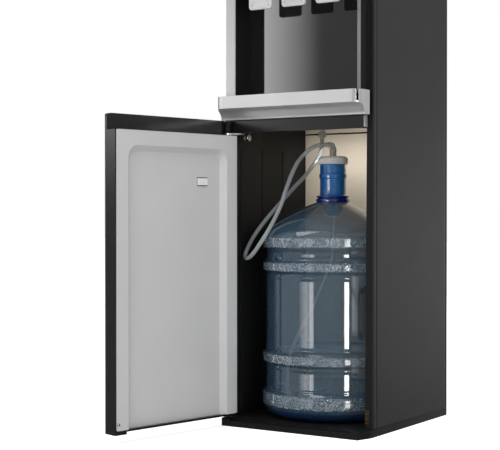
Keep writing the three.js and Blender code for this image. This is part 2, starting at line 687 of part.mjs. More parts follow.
function makeCup(y0) {
  const half = ALCOVE_HALF_WIDTH - 1.4;
  const y1 = fromFront(ALCOVE_DEPTH) - GAP;
  const top = CUP_BOTTOM + CUP_DEPTH;
  const plan = roundedRectangle([-half, half], [y0, y1], CUP_CORNERS);
  let cup = upright(plan, CUP_BOTTOM, top);
  const inner = half - CUP_WALL;
  const well = roundedRectangle([-inner, inner], [y0 + CUP_WALL, y1 - CUP_WALL], [6, 6, 2, 2]);
  cup = cup.subtract(upright(well, CUP_BOTTOM + CUP_WALL, top + 1));
  add("drip_cup", cup, "blackSatin");
  const grilleBottom = top + GAP;
  let grille = upright(plan, grilleBottom, grilleBottom + GRILLE_THICKNESS);
  const slots = Math.floor((2 * (half - GRILLE_RIM - 2)) / GRILLE_PITCH);
  const firstX = (-(slots - 1) * GRILLE_PITCH) / 2;
  for (let i = 0; i < slots; i += 1) {
    const x = firstX + i * GRILLE_PITCH;
    const slotDepth = [y0 + GRILLE_RIM, y1 - GRILLE_RIM];
    const slotHeight = [grilleBottom - 1, grilleBottom + GRILLE_THICKNESS + 1];
    grille = grille.subtract(slab(around(x, GRILLE_SLOT), slotDepth, slotHeight));
  }
  add("drip_grille", grille, "steel");
}

// ---- dispensing alcove ----

const BACK_PANEL_THICKNESS = 3.5;
const SIDE_FLARE = 4; // the housing's sides spread by this much on the way back

function makeAlcove() {
  const bottom = CHEEK_BOTTOM;
  const top = ALCOVE_TOP - GAP;
  const [ox, oy] = [HOUSING_HALF_WIDTH, fromFront(HOUSING_SETBACK)];
  const [ix, iy] = [ALCOVE_HALF_WIDTH, oy + HOUSING_HALF_WIDTH - ALCOVE_HALF_WIDTH];
  const shift = TRIM_THICKNESS + GAP;
  const sideX = ox + SIDE_FLARE;
  const rear = fromFront(ALCOVE_DEPTH) + GAP;
  const trimPoints = [[ox, oy], [ox, oy + shift], [ix, iy + shift], [ix, iy]];
  const cheekPoints = [
    [ox, oy + shift + GAP],
    [sideX, fromFront(FRAME_SETBACK)],
    [JAMB_HALF, fromFront(FRAME_SETBACK)],
    [JAMB_HALF, fromFront(PANEL_SETBACK) - GAP],
    [LINER_OUTER, fromFront(PANEL_SETBACK) - GAP],
    [LINER_OUTER, rear],
    [ix, rear],
    [ix, iy + shift + GAP],
  ];
  for (const [side, sideName] of SIDES) {
    const sided = (points) => outline(side > 0 ? points : mirrored(points));
    add(`alcove_cheek_${sideName}`, upright(sided(cheekPoints), bottom, top), "blackSatin");
    add(`alcove_trim_${sideName}`, upright(sided(trimPoints), TRAY_TOP + GAP, top), "chrome");
  }
  const backDepth = [rear + GAP, rear + GAP + BACK_PANEL_THICKNESS];
  const back = slab([-LINER_OUTER, LINER_OUTER], backDepth, [CEILING_HEIGHT + WALL_SHEET + GAP, top]);
  add("alcove_back_panel", back, "blackGloss");
}

// ---- control head ----

const BUTTON_RADIUS = 8;
const BUTTON_X = 72;
const BUTTON_Z = 930;
const BUTTON_LENGTH = 7;
const BUTTON_PROUD = 2;
const HEAD_WALL = 3;

function makeHead() {
  const front = fromFront(HOUSING_SETBACK);
  const rear = fromFront(ALCOVE_DEPTH) + GAP;
  const sideX = HOUSING_HALF_WIDTH + SIDE_FLARE;
  const right = [
    [HOUSING_HALF_WIDTH, front],
    [sideX, fromFront(FRAME_SETBACK)],
    [JAMB_HALF, fromFront(FRAME_SETBACK)],
    [JAMB_HALF, fromFront(PANEL_SETBACK) - GAP],
    [LINER_OUTER, fromFront(PANEL_SETBACK) - GAP],
    [LINER_OUTER, rear],
  ];
  let head = upright(outline([...right, ...mirrored(right)]), ALCOVE_TOP, PANEL_TOP);
  const inner = HOUSING_HALF_WIDTH - HEAD_WALL;
  const hollowHeight = [ALCOVE_TOP + HEAD_WALL, PANEL_TOP - HEAD_WALL];
  head = head.subtract(slab([-inner, inner], [front + HEAD_WALL, rear + 1], hollowHeight));
  for (let tap = -1; tap <= 1; tap += 1) {
    const x = tap * TAP_SPACING;
    const reach = [fromFront(PADDLE_SETBACK) - 2, fromFront(NOZZLE_SETBACK) + NOZZLE_RADIUS + 2];
    const slotHeight = [ALCOVE_TOP - 1, ALCOVE_TOP + HEAD_WALL + 1];
    head = head.subtract(slab(around(x, PADDLE_WIDTH + 4), reach, slotHeight));
  }
  const hole = [[BUTTON_X, front - 1, BUTTON_Z], [BUTTON_X, front + HEAD_WALL + 1, BUTTON_Z]];
  add("control_head", head.subtract(rod(...hole, BUTTON_RADIUS + GAP, 24)), "blackGloss");
  const r = BUTTON_RADIUS;
  const profile = [[0, 0], [r - 1, 0], [r, 1], [r, BUTTON_LENGTH], [0, BUTTON_LENGTH]];
  const button = turnedAlongY(profile, BUTTON_X, front - BUTTON_PROUD, BUTTON_Z, 24);
  add("child_lock_button", button, "silver");
}

// ---- taps ----

const PADDLE_CORNER = 6;
const PADDLE_BOSS = 5;
const NOZZLE_TAPER = 12;
const NOZZLE_RISE = 20; // above the paddles' pivot
const SHAFT_OVERHANG = 12;

function makeTaps() {
  const pivotY = fromFront(PADDLE_SETBACK) + PADDLE_THICKNESS / 2;
  const along = (x, halfLength) => [
    [x - halfLength, pivotY, PADDLE_PIVOT_HEIGHT],
    [x + halfLength, pivotY, PADDLE_PIVOT_HEIGHT],
  ];
  for (const [tap, name] of [[-1, "left"], [0, "middle"], [1, "right"]]) {
    const x = tap * TAP_SPACING;
    const corners = [PADDLE_CORNER, PADDLE_CORNER, 0, 0];
    const face = roundedRectangle(around(x, PADDLE_WIDTH), [PADDLE_BOTTOM, PADDLE_PIVOT_HEIGHT], corners);
    const blade = facing(face, ...around(pivotY, PADDLE_THICKNESS));
    const boss = rod(...along(x, PADDLE_WIDTH / 2), PADDLE_BOSS);
    const bore = rod(...along(x, PADDLE_WIDTH / 2 + 1), SHAFT_RADIUS + GAP, 12);
    add(`tap_paddle_${name}`, blade.add(boss).subtract(bore), "white");
    add(`tap_nozzle_${name}`, makeNozzle(x), "steel");
  }
  const shaftHalf = TAP_SPACING + PADDLE_WIDTH / 2 + SHAFT_OVERHANG;
  add("paddle_shaft", rod(...along(0, shaftHalf), SHAFT_RADIUS, 12), "steel");
}

function makeNozzle(x) {
  const top = PADDLE_PIVOT_HEIGHT + NOZZLE_RISE;
  const profile = [
    [NOZZLE_BORE, NOZZLE_BOTTOM],
    [NOZZLE_RADIUS - 3, NOZZLE_BOTTOM],
    [NOZZLE_RADIUS, NOZZLE_BOTTOM + NOZZLE_TAPER],
    [NOZZLE_RADIUS, top],
    [NOZZLE_BORE, top],
    [NOZZLE_BORE, NOZZLE_BOTTOM],
  ];
  return turned(profile, x, fromFront(NOZZLE_SETBACK), 20);
}

// ---- what the cabinet holds ----

const DECK = CEILING_HEIGHT + WALL_SHEET + GAP; // top of the bay's ceiling, which the works stand on
const COMPRESSOR_PLACE = [68, 66];
const COMPRESSOR_RADIUS = 66;
const COMPRESSOR_HEIGHT = 146;
const TANK_TOP = DECK + 395;
const COLD_TANK = { place: [52, 40], radius: 88, height: 190, dome: 10 };
const HOT_TANK = { place: [-92, -20], radius: 50, height: 150, dome: 8 };
const PUMP_X = -112;
const PUMP_Y = [20, 90];
const PUMP_RADIUS = 24;

function makeInternals() {
  add("compressor", makeCompressor(...COMPRESSOR_PLACE), "blackSatin");
  add("cold_tank", makeTank(COLD_TANK), "steel");
  add("hot_tank", makeTank(HOT_TANK), "steel");
  const axis = DECK + PUMP_RADIUS + 6;
  const pump = rod([PUMP_X, PUMP_Y[0], axis], [PUMP_X, PUMP_Y[1], axis], PUMP_RADIUS, 20);
  const standDepth = [PUMP_Y[0] + 15, PUMP_Y[1] - 15];
  const stand = slab(around(PUMP_X, 2 * PUMP_RADIUS - 4), standDepth, [DECK, DECK + 20]);
  add("feed_pump", pump.add(stand), "blackSatin");
  add("power_inlet", makeInlet(), "blackSatin");
  add("drain_plug", makeDrain(), "blackSatin");
  add("condenser_coil", makeCondenser(), "blackSheet");
}

function makeTank({ place, radius, height, dome }) {
  const bottom = TANK_TOP - height;
  const profile = [
    [0, bottom],
    [radius - 6, bottom],
    [radius, bottom + 6],
    [radius, TANK_TOP - dome],
    [radius - dome, TANK_TOP],
    [0, TANK_TOP],
  ];
  return turned(profile, ...place, 28);
}

function makeCompressor(x, y) {
  const r = COMPRESSOR_RADIUS;
  const profile = [
    [0, DECK + 12],
    [r - 8, DECK + 12],
    [r, DECK + 26],
    [r, DECK + COMPRESSOR_HEIGHT - 36],
    [r - 14, DECK + COMPRESSOR_HEIGHT - 8],
    [0, DECK + COMPRESSOR_HEIGHT],
  ];
  const plate = slab(around(x, 2 * r + 24), around(y, 2 * r - 32), [DECK, DECK + 14]);
  return turned(profile, x, y, 28).add(plate);
}

const INLET_BODY_DEPTH = 10;
const INLET_FLANGE = 2.5;

function makeInlet() {
  const [w, h] = INLET_SIZE;
  const outside = REAR_Y + SHEET + GAP;
  const flange = slab(around(INLET_X, w + 12), [outside, outside + INLET_FLANGE], around(INLET_Z, h + 10));
  const body = slab(around(INLET_X, w), [REAR_Y - INLET_BODY_DEPTH, outside + 1], around(INLET_Z, h));
  const socketDepth = [REAR_Y - INLET_BODY_DEPTH + 2, outside + INLET_FLANGE + 1];
  const socket = slab(around(INLET_X, w - 4), socketDepth, around(INLET_Z, h - 6));
  return flange.add(body).subtract(socket);
}

const DRAIN_HEAD = 5;

function makeDrain() {
  const y = REAR_Y + SHEET;
  const stem = rod([DRAIN_X, REAR_Y - 8, DRAIN_Z], [DRAIN_X, y + 4, DRAIN_Z], DRAIN_RADIUS, 20);
  const head = rod([DRAIN_X, y + GAP, DRAIN_Z], [DRAIN_X, y + 12, DRAIN_Z], DRAIN_RADIUS + DRAIN_HEAD, 8);
  return stem.add(head);
}

const COIL_RADIUS = 3;
const COIL_RUNS = 11;
const COIL_PITCH = 27;
const COIL_BOTTOM = 690;
const COIL_HALF = 118;
const COIL_STANDOFF = 12;
const STRAP_WIDTH = 16;

/** One tube that runs from side to side up the back, with straps that hold it off the rear panel. */
function makeCondenser() {
  const y = REAR_Y + SHEET + COIL_STANDOFF;
  const bend = COIL_PITCH / 2;
  const end = COIL_HALF - bend;
  const top = COIL_BOTTOM + (COIL_RUNS - 1) * COIL_PITCH;
  let coil = null;
  for (const x of [-COIL_HALF / 2, COIL_HALF / 2]) {
    const strapHeight = [COIL_BOTTOM - COIL_STANDOFF, top + COIL_STANDOFF];
    const strap = slab(around(x, STRAP_WIDTH), [REAR_Y + SHEET + GAP, y], strapHeight);
    coil = coil ? coil.add(strap) : strap;
  }
  for (let run = 0; run < COIL_RUNS; run += 1) {
    const z = COIL_BOTTOM + run * COIL_PITCH;
    coil = coil.add(rod([-end - 2, y, z], [end + 2, y, z], COIL_RADIUS - 0.2, 6));
  }
  for (let run = 0; run < COIL_RUNS - 1; run += 1) {
    const side = run % 2 === 0 ? 1 : -1;
    const z = COIL_BOTTOM + run * COIL_PITCH;
    coil = coil.add(tube(halfRing(side * end, y, z, side * bend), COIL_RADIUS, 8, 6));
  }
  return coil;
}

/** Points on a half circle that leaves x, z sideways and comes back one diameter higher. */
function halfRing(x, y, z, radius) {
  const height = Math.abs(radius);
  const points = [];
  for (let i = 0; i <= 6; i += 1) {
    const angle = (Math.PI * i) / 6;
    points.push([x + radius * Math.sin(angle), y, z + height - height * Math.cos(angle)]);
  }
  return points;
}

const ROCKER_DEPTH = 8;
const ROCKER_HIGH = 3.6;
const ROCKER_LOW = 1.4;

function makeSwitches() {
  const [w, h] = SWITCH_SIZE;
  for (const [side, name, colour] of [[-1, "hot_switch", "red"], [1, "cold_switch", "green"]]) {
    const x = SWITCH_X + (side * SWITCH_SPACING) / 2;
    const y = REAR_Y + SHEET;
    const [z0, z1] = around(SWITCH_Z, h - 2);
    const rocker = outline([
      [y - ROCKER_DEPTH, z0],
      [y + ROCKER_HIGH, z0],
      [y + ROCKER_LOW, SWITCH_Z],
      [y + ROCKER_LOW, z1],
      [y - ROCKER_DEPTH, z1],
    ]);
    add(name, sideways(rocker, ...around(x, w - 2)), colour);
  }
}

// ---- bottle and feed line ----

const SHOULDER_RISE = 67;
const COLLAR = 7; // the ring at the neck's foot stands out by this much
const COLLAR_HEIGHT = 11;

function makeBottle() {
  const y = fromFront(BOTTLE_SETBACK);
  const z = BOTTLE_BASE;
  const r = BOTTLE_RADIUS;
  const shoulder = z + BOTTLE_BODY_HEIGHT;
  const neck = NECK_RADIUS;
  const collar = shoulder + SHOULDER_RISE;
  const profile = [
    [0, z + 6],
    [r * 0.72, z + 6],
    [r * 0.8, z],
    [r - 18, z + 2],
    [r - 8, z + 10],
    [r - 4, z + 18],
    [r - 1, z + 26],
    [r, z + 32],
    [r, z + 38],
    [r - 3, z + 42],
    [r - 3, z + 96],
    [r, z + 104],
    [r, z + 120],
    [r - 3, z + 127],
    [r - 3, z + 270],
    [r, z + 278],
    [r, z + 292],
    [r - 4, z + 299],
    [r - 4, z + 315],
    [r, z + 322],
    [r, shoulder],
  ];
  const shoulderCurve = new THREE.QuadraticBezierCurve(
    new THREE.Vector2(r, shoulder),
    new THREE.Vector2(r - 8, shoulder + SHOULDER_RISE * 0.4),
    new THREE.Vector2(neck + COLLAR, collar),
  );
  for (const point of shoulderCurve.getPoints(6).slice(1)) profile.push([point.x, point.y]);
  profile.push([neck + COLLAR, collar + COLLAR_HEIGHT], [neck, collar + COLLAR_HEIGHT + 1]);
  profile.push([neck, NECK_TOP]);
  const inside = [
    [neck - BOTTLE_WALL, NECK_TOP],
    [neck - BOTTLE_WALL, collar + 4],
  ];
  for (const point of shoulderCurve.getPoints(6).reverse().slice(1)) {
    inside.push([point.x - BOTTLE_WALL - 2, point.y - BOTTLE_WALL]);
  }
  const floor = z + 8 + BOTTLE_WALL;
  inside.push([r - BOTTLE_WALL - 4, z + 42], [r - 12, z + 20], [r * 0.7, floor], [0, floor]);
  add("water_bottle", turned([...profile, ...inside], 0, y, 32), "clearBlue");
  makeProbe(y);
}

const TUBE_RADIUS = 4;
const ELBOW_HEIGHT = 531;
const ELBOW_RADIUS = 5;
const NUT_RADIUS = 7.5;
const OUTLET_DIRECTION = new THREE.Vector2(-0.785, -0.62).normalize();
const OUTLET_REACH = 12;
const NUT_HEIGHT = 17;
const CAP_CHAMFER = 3;
const TAB_REACH = 7;
const DIP_SWING = 33; // the dip tube's foot stays this far inside the bottle's wall

function makeProbe(y) {
  const bore = TUBE_RADIUS + GAP;
  const capProfile = [
    [bore, CAP_BOTTOM],
    [CAP_RADIUS, CAP_BOTTOM],
    [CAP_RADIUS, CAP_TOP - CAP_CHAMFER - 1],
    [CAP_RADIUS - CAP_CHAMFER, CAP_TOP],
    [bore, CAP_TOP],
    [bore, CAP_BOTTOM],
  ];
  const tab = slab([-CAP_RADIUS - TAB_REACH, -CAP_RADIUS + 4], around(y, 12), [CAP_BOTTOM, CAP_BOTTOM + 5]);
  add("probe_cap", turned(capProfile, 0, y, 28).add(tab), "white");
  const nutTop = CAP_TOP + GAP + NUT_HEIGHT;
  const height = Math.max(ELBOW_HEIGHT + LIFT, nutTop + 4);
  const out = OUTLET_DIRECTION.clone().multiplyScalar(OUTLET_REACH);
  const bend = OUTLET_DIRECTION.clone().multiplyScalar(1.5);
  const elbowRoute = [
    [0, y, nutTop - 3],
    [0, y, height - 3],
    [bend.x, y + bend.y, height - 0.4],
    [out.x / 2, y + out.y / 2, height],
    [out.x, y + out.y, height],
  ];
  const nut = rod([0, y, CAP_TOP + GAP], [0, y, nutTop], NUT_RADIUS, 6);
  const elbow = nut.add(tube(elbowRoute, ELBOW_RADIUS, 8, 12));
  add("elbow_fitting", elbow, "white");
  const foot = BOTTLE_RADIUS - DIP_SWING;
  const dip = [
    [0, y, CAP_TOP - 1],
    [0, y, CAP_TOP - 70],
    [0, y, 330],
    [-foot * 0.12, y, 285],
    [-foot * 0.44, y, 219],
    [-foot * 0.815, y, 150],
    [-foot * 0.97, y, 110],
    [-foot, y, 70],
    [-foot, y, BOTTLE_BASE + 22],
  ];
  add("dip_tube", tube(dip, TUBE_RADIUS, 24), "white");
}

// The hose's centre line: x, distance behind the front plane, height. It runs from the fitting in the bay's
// ceiling, down round the front left corner of the bay, and back up to the elbow on the bottle's cap.
const HOSE_ROUTE = [
  [-60, 230, 547.7],
  [-60, 229.5, 536],
  [-61.5, 225, 521],
  [-66.5, 213, 500],
  [-76.5, 195, 476],
  [-89, 170.5, 450.5],
  [-102, 145, 422.5],
  [-115, 119.5, 394.5],
  [-128, 98, 365.5],
  [-135, 86, 346],
  [-137, 75, 330.5],
  [-134, 63, 319],
  [-125.5, 54, 314],
  [-113.5, 48.8, 316.5],
  [-101, 46.5, 327],
  [-90, 47, 341.5],
  [-81, 52.5, 357.5],
  [-74.5, 67, 380.5],
  [-69, 87, 413],
  [-65.5, 103, 447.5],
  [-60.5, 117, 478],
  [-53, 128.5, 501],
  [-42, 139, 517.5],
  [-29, 147.5, 527.5],
  [-18.5, 153.5, 530.6],
  [-9.8, 160.3, 531],
];
const HOSE_STEPS = 76;
const COLLAR_LENGTH = 10;
const COLLAR_RADIUS = 8;
const HOOK_SETBACK = 75;
const HOOK_DROP = 6;
const HOOK_REACH = [8, 6, 12]; // stalk's end, knob's start and knob's end, out from the wall
const HOOK_RADIUS = 7;

function makeFeedLine() {
  const points = HOSE_ROUTE.map(([x, back, z]) => [x, fromFront(back), z + LIFT]);
  add("feed_hose", tube(points, HOSE_RADIUS, HOSE_STEPS), "hose");
  const x = FITTING_X;
  const y = fromFront(FITTING_SETBACK);
  const stub = HOSE_ROUTE[0][2] + LIFT + GAP;
  const collar = rod([x, y, stub + 3], [x, y, stub + 3 + COLLAR_LENGTH], COLLAR_RADIUS, 20);
  const stem = rod([x, y, stub], [x, y, CEILING_HEIGHT + WALL_SHEET + COLLAR_LENGTH], FITTING_RADIUS);
  add("ceiling_hose_fitting", stem.add(collar), "white");
  const wall = -BAY_HALF + GAP;
  const at = (out) => [wall + out, fromFront(HOOK_SETBACK), OPENING_TOP - HOOK_DROP];
  const [stalkEnd, knobStart, knobEnd] = HOOK_REACH;
  const stalk = rod(at(0), at(stalkEnd), 2, 12);
  add("hose_hook", stalk.add(rod(at(knobStart), at(knobEnd), HOOK_RADIUS, 20)), "steel");
}

makePlinth();
makeFeet();
makeShell();
makeFrame();
makeHinges();
makeDoor();
makeTray();
makeAlcove();
makeHead();
makeTaps();
makeInternals();
makeSwitches();
makeBottle();
makeFeedLine();

export default dispenser;
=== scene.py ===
"""Bottom-loading water dispenser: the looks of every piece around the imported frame.

Metres, +Z up, the front faces -Y, and the origin is the middle of the plinth's underside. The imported
model gives each solid its place. Flat-sided solids, the tanks, the pump, the compressor and the drain
plug come back as copies with softened edges. The bottle, the feed line, the coil, the small turned pieces
and the added details are surfaces worked out here.
"""

from __future__ import annotations

import json
import logging
import math
from dataclasses import dataclass
from enum import Enum

import bmesh
import bpy
import numpy as np
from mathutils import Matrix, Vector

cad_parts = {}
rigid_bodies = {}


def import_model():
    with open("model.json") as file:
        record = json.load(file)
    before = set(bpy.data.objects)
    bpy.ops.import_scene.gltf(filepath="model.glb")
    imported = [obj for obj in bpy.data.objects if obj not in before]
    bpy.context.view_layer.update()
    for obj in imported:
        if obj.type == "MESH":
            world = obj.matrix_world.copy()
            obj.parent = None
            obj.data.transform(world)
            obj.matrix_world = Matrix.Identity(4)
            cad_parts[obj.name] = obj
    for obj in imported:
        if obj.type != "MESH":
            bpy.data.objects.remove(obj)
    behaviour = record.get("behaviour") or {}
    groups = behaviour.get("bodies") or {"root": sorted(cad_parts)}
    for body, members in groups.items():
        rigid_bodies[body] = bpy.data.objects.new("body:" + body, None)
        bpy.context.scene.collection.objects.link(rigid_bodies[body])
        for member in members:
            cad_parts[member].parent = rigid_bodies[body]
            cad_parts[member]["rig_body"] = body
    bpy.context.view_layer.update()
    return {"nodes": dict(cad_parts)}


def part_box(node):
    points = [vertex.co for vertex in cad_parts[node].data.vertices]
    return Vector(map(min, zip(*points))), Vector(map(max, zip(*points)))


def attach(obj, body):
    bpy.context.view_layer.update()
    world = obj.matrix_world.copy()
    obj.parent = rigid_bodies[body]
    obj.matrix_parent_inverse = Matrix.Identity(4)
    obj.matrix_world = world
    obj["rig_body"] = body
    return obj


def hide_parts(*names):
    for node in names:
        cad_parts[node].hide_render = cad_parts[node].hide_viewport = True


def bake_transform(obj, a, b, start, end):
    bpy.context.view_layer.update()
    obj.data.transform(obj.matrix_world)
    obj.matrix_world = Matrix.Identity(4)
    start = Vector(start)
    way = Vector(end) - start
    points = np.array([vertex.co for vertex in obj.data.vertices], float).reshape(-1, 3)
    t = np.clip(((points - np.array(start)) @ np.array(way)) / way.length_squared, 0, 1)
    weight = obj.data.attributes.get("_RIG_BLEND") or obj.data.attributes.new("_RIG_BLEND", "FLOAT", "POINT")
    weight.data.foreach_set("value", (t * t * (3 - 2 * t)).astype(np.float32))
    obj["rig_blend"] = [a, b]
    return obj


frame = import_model()

LOG = logging.getLogger("dispenser")
MM = 0.001
SMOOTH_ANGLE = math.radians(38)
MERGE = 1e-6


class Axis(Enum):
    """The direction that an outline is raised along or a profile is turned about."""

    X = 0
    Y = 1
    Z = 2

    def place(self, first: np.ndarray, second: np.ndarray, along: np.ndarray) -> np.ndarray:
        """Puts two cross coordinates and one along the axis into x, y, z order.

        Args:
            first: the first cross coordinate, which is y for X and x for the others.
            second: the second cross coordinate, which is y for Z and z for the others.
            along: the coordinate along the axis.

        Returns:
            Points with a last dimension of three.
        """
        order = {
            Axis.X: (along, first, second),
            Axis.Y: (first, along, second),
            Axis.Z: (first, second, along),
        }[self]
        return np.stack(np.broadcast_arrays(*order), axis=-1)


# ---- shapes ----


@dataclass
class Shape:
    """Vertices and faces before they are made a mesh."""

    vertices: np.ndarray
    faces: list[list[int]]

    def __add__(self, other: "Shape") -> "Shape":
        """Both shapes as one."""
        shift = len(self.vertices)
        moved = [[index + shift for index in face] for face in other.faces]
        return Shape(np.vstack([self.vertices, other.vertices]), self.faces + moved)


def surface(grid: np.ndarray, loop_rows: bool = False, loop_columns: bool = True, caps: bool = True) -> Shape:
    """A surface through a grid of points, four to a face.

    Args:
        grid: points as rows, columns, 3.
        loop_rows: joins the last row to the first.
        loop_columns: joins the last column to the first.
        caps: closes the first and last rows with a face each.

    Returns:
        The surface.
    """
    rows, columns = grid.shape[:2]
    index = np.arange(rows * columns).reshape(rows, columns)
    across = np.concatenate([index, index[:, :1]], axis=1) if loop_columns else index
    down = np.concatenate([across, across[:1]], axis=0) if loop_rows else across
    corners = [down[:-1, :-1], down[:-1, 1:], down[1:, 1:], down[1:, :-1]]
    faces = np.stack(corners, axis=-1).reshape(-1, 4).tolist()
    if caps and not loop_rows:
        faces += [index[0][::-1].tolist(), index[-1].tolist()]
    return Shape(grid.reshape(-1, 3), faces)


def rounded(points: np.ndarray, trim: float | np.ndarray, steps: int = 5, closed: bool = True) -> np.ndarray:
    """Rounds a polygon's corners.

    Each corner is replaced by the parabola (1-t)^2 A + 2t(1-t) B + t^2 C, where B is the corner and A
    and C lie on its two edges at the trim distance, held to under half of the shorter edge.

    Args:
        points: the corners, n by 2.
        trim: how far along each edge the rounding starts, one value or one for each corner.
        steps: points on each corner.
        closed: whether the last point joins the first; an open line keeps its ends.

    Returns:
        The rounded outline.
    """
    corner = np.asarray(points, float)
    before, after = np.roll(corner, 1, axis=0), np.roll(corner, -1, axis=0)
    to_before, to_after = before - corner, after - corner
    len_before = np.linalg.norm(to_before, axis=1, keepdims=True)
    len_after = np.linalg.norm(to_after, axis=1, keepdims=True)
    cut = np.minimum(np.broadcast_to(trim, len(corner))[:, None], 0.49 * np.minimum(len_before, len_after))
    if not closed:
        cut = cut.copy()
        cut[[0, -1]] = 0
    start = corner + to_before / np.maximum(len_before, 1e-12) * cut
    end = corner + to_after / np.maximum(len_after, 1e-12) * cut
    t = np.linspace(0, 1, steps)[None, :, None]
    curve = (1 - t) ** 2 * start[:, None] + 2 * t * (1 - t) * corner[:, None] + t**2 * end[:, None]
    return curve.reshape(-1, 2)


def rectangle(first: tuple[float, float], second: tuple[float, float], trim: float = 0.0, steps: int = 5) -> np.ndarray:
    """The outline of a rectangle between two values on each cross axis, with rounded corners."""
    (a0, a1), (b0, b1) = first, second
    corners = np.array([[a0, b0], [a1, b0], [a1, b1], [a0, b1]])
    return rounded(corners, trim, steps) if trim else corners


def inward(plan: np.ndarray) -> np.ndarray:
    """The direction at each point of a closed outline that moves both of its edges in by one unit."""
    edge = np.roll(plan, -1, axis=0) - plan
    edge = edge / np.maximum(np.linalg.norm(edge, axis=1, keepdims=True), 1e-12)
    turn = np.sign(np.sum(plan[:, 0] * np.roll(plan[:, 1], -1) - plan[:, 1] * np.roll(plan[:, 0], -1)))
    normal = np.stack([-edge[:, 1], edge[:, 0]], axis=1) * turn
    last = np.roll(normal, 1, axis=0)
    return (normal + last) / np.maximum(1 + np.sum(normal * last, axis=1, keepdims=True), 0.3)


def prism(plan: np.ndarray, low: float, high: float, axis: Axis = Axis.Z, bevel: float = 0.0006) -> Shape:
    """An outline raised along an axis, with its two end edges rounded.

    Near each end the outline moves in by bevel (1 - sin a) while the height gains bevel (1 - cos a),
    which is a quarter circle.

    Args:
        plan: a closed outline, n by 2, without repeated points.
        low: the lower end on the axis.
        high: the upper end on the axis.
        axis: the direction that it is raised along.
        bevel: the radius of the end edges.

    Returns:
        A closed solid.
    """
    angle = np.linspace(0, math.pi / 2, 4)
    inset = bevel * (1 - np.sin(angle))
    rise = bevel * (1 - np.cos(angle))
    insets = np.concatenate([inset, inset[::-1]])
    heights = np.concatenate([low + rise, high - rise[::-1]])
    ring = plan[None] + inward(plan)[None] * insets[:, None, None]
    return surface(axis.place(ring[..., 0], ring[..., 1], heights[:, None]))


def box(x: tuple[float, float], y: tuple[float, float], z: tuple[float, float], bevel: float = 0.0005) -> Shape:
    """A box between two values on each axis, with every edge softened."""
    return prism(rectangle(x, y, bevel, 4), z[0], z[1], Axis.Z, bevel * 0.9)


def lathe(
    profile: np.ndarray,
    centre: tuple[float, float],
    axis: Axis = Axis.Z,
    segments: int = 64,
    ring: bool = False,
    waves: tuple[int, float] = (0, 0.0),
) -> Shape:
    """A profile turned about an axis: radius times cosine and sine of the angle on the cross axes.

    Args:
        profile: radius and place along the axis, n by 2.
        centre: the axis's place on the two cross axes.
        axis: the direction that it is turned about.
        segments: steps round the axis.
        ring: the profile is a closed loop, so the solid has a hole through it.
        waves: a count and a height of flutes that the radius gains round the axis.

    Returns:
        A closed solid.
    """
    angle = np.linspace(0, 2 * math.pi, segments, endpoint=False)
    radius = profile[:, :1] * (1 + waves[1] * np.cos(waves[0] * angle))[None]
    first = centre[0] + radius * np.cos(angle)
    second = centre[1] + radius * np.sin(angle)
    return surface(axis.place(first, second, profile[:, 1:2]), loop_rows=ring)


def smooth_path(points: np.ndarray, steps: int) -> np.ndarray:
    """A Catmull-Rom curve through points, with the same number of steps between each two.

    Between two points it is half of the cubic that takes their neighbours for its slopes.

    Args:
        points: stations, n by 3.
        steps: steps between two stations.

    Returns:
        The curve's points.
    """
    padded = np.vstack([2 * points[0] - points[1], points, 2 * points[-1] - points[-2]])
    p0, p1, p2, p3 = (padded[i : len(padded) - 3 + i][:, None] for i in range(4))
    t = np.linspace(0, 1, steps, endpoint=False)[None, :, None]
    slope = -p0 + p2
    bend = 2 * p0 - 5 * p1 + 4 * p2 - p3
    twist = -p0 + 3 * p1 - 3 * p2 + p3
    curve = 0.5 * (2 * p1 + slope * t + bend * t**2 + twist * t**3)
    return np.vstack([curve.reshape(-1, 3), points[-1:]])


def sweep(
    path: np.ndarray,
    radius: float | np.ndarray,
    reference: np.ndarray,
    sides: int = 24,
    closed: bool = False,
) -> Shape:
    """A round section carried along a path.

    At each station the section's plane is spanned by the cross product of the path's direction with
    the reference, and the cross product of that with the direction.

    Args:
        path: stations, n by 3.
        radius: one radius, or one for each station.
        reference: a direction, or one for each station, that is never along the path.
        sides: points round the section.
        closed: the path's last station joins its first.

    Returns:
        A closed tube.
    """
    ahead = np.roll(path, -1, axis=0) - np.roll(path, 1, axis=0) if closed else np.gradient(path, axis=0)
    ahead = ahead / np.linalg.norm(ahead, axis=1, keepdims=True)
    side = np.cross(ahead, np.broadcast_to(reference, path.shape))
    side = side / np.linalg.norm(side, axis=1, keepdims=True)
    up = np.cross(side, ahead)
    angle = np.linspace(0, 2 * math.pi, sides, endpoint=False)[None, :, None]
    reach = np.broadcast_to(radius, len(path))[:, None, None]
    grid = path[:, None] + reach * (np.cos(angle) * side[:, None] + np.sin(angle) * up[:, None])
    return surface(grid, loop_rows=closed)


def rows_of(shape: Shape, places: np.ndarray) -> Shape:
    """Copies of a shape, one moved to each place, as one shape.

    Args:
        shape: what is repeated.
        places: how far each copy is moved, n by 3.

    Returns:
        All the copies.
    """
    vertices = (shape.vertices[None] + places[:, None]).reshape(-1, 3)
    shifts = np.arange(len(places)) * len(shape.vertices)
    faces = [[index + int(shift) for index in face] for shift in shifts for face in shape.faces]
    return Shape(vertices, faces)


def hexagon(x: float, y: float, radius: float) -> np.ndarray:
    """A six-sided outline with rounded corners."""
    angle = np.arange(6) * math.pi / 3
    corners = np.stack([x + radius * np.cos(angle), y + radius * np.sin(angle)], axis=1)
    return rounded(corners, radius * 0.15, 4)


# ---- shader node groups ----


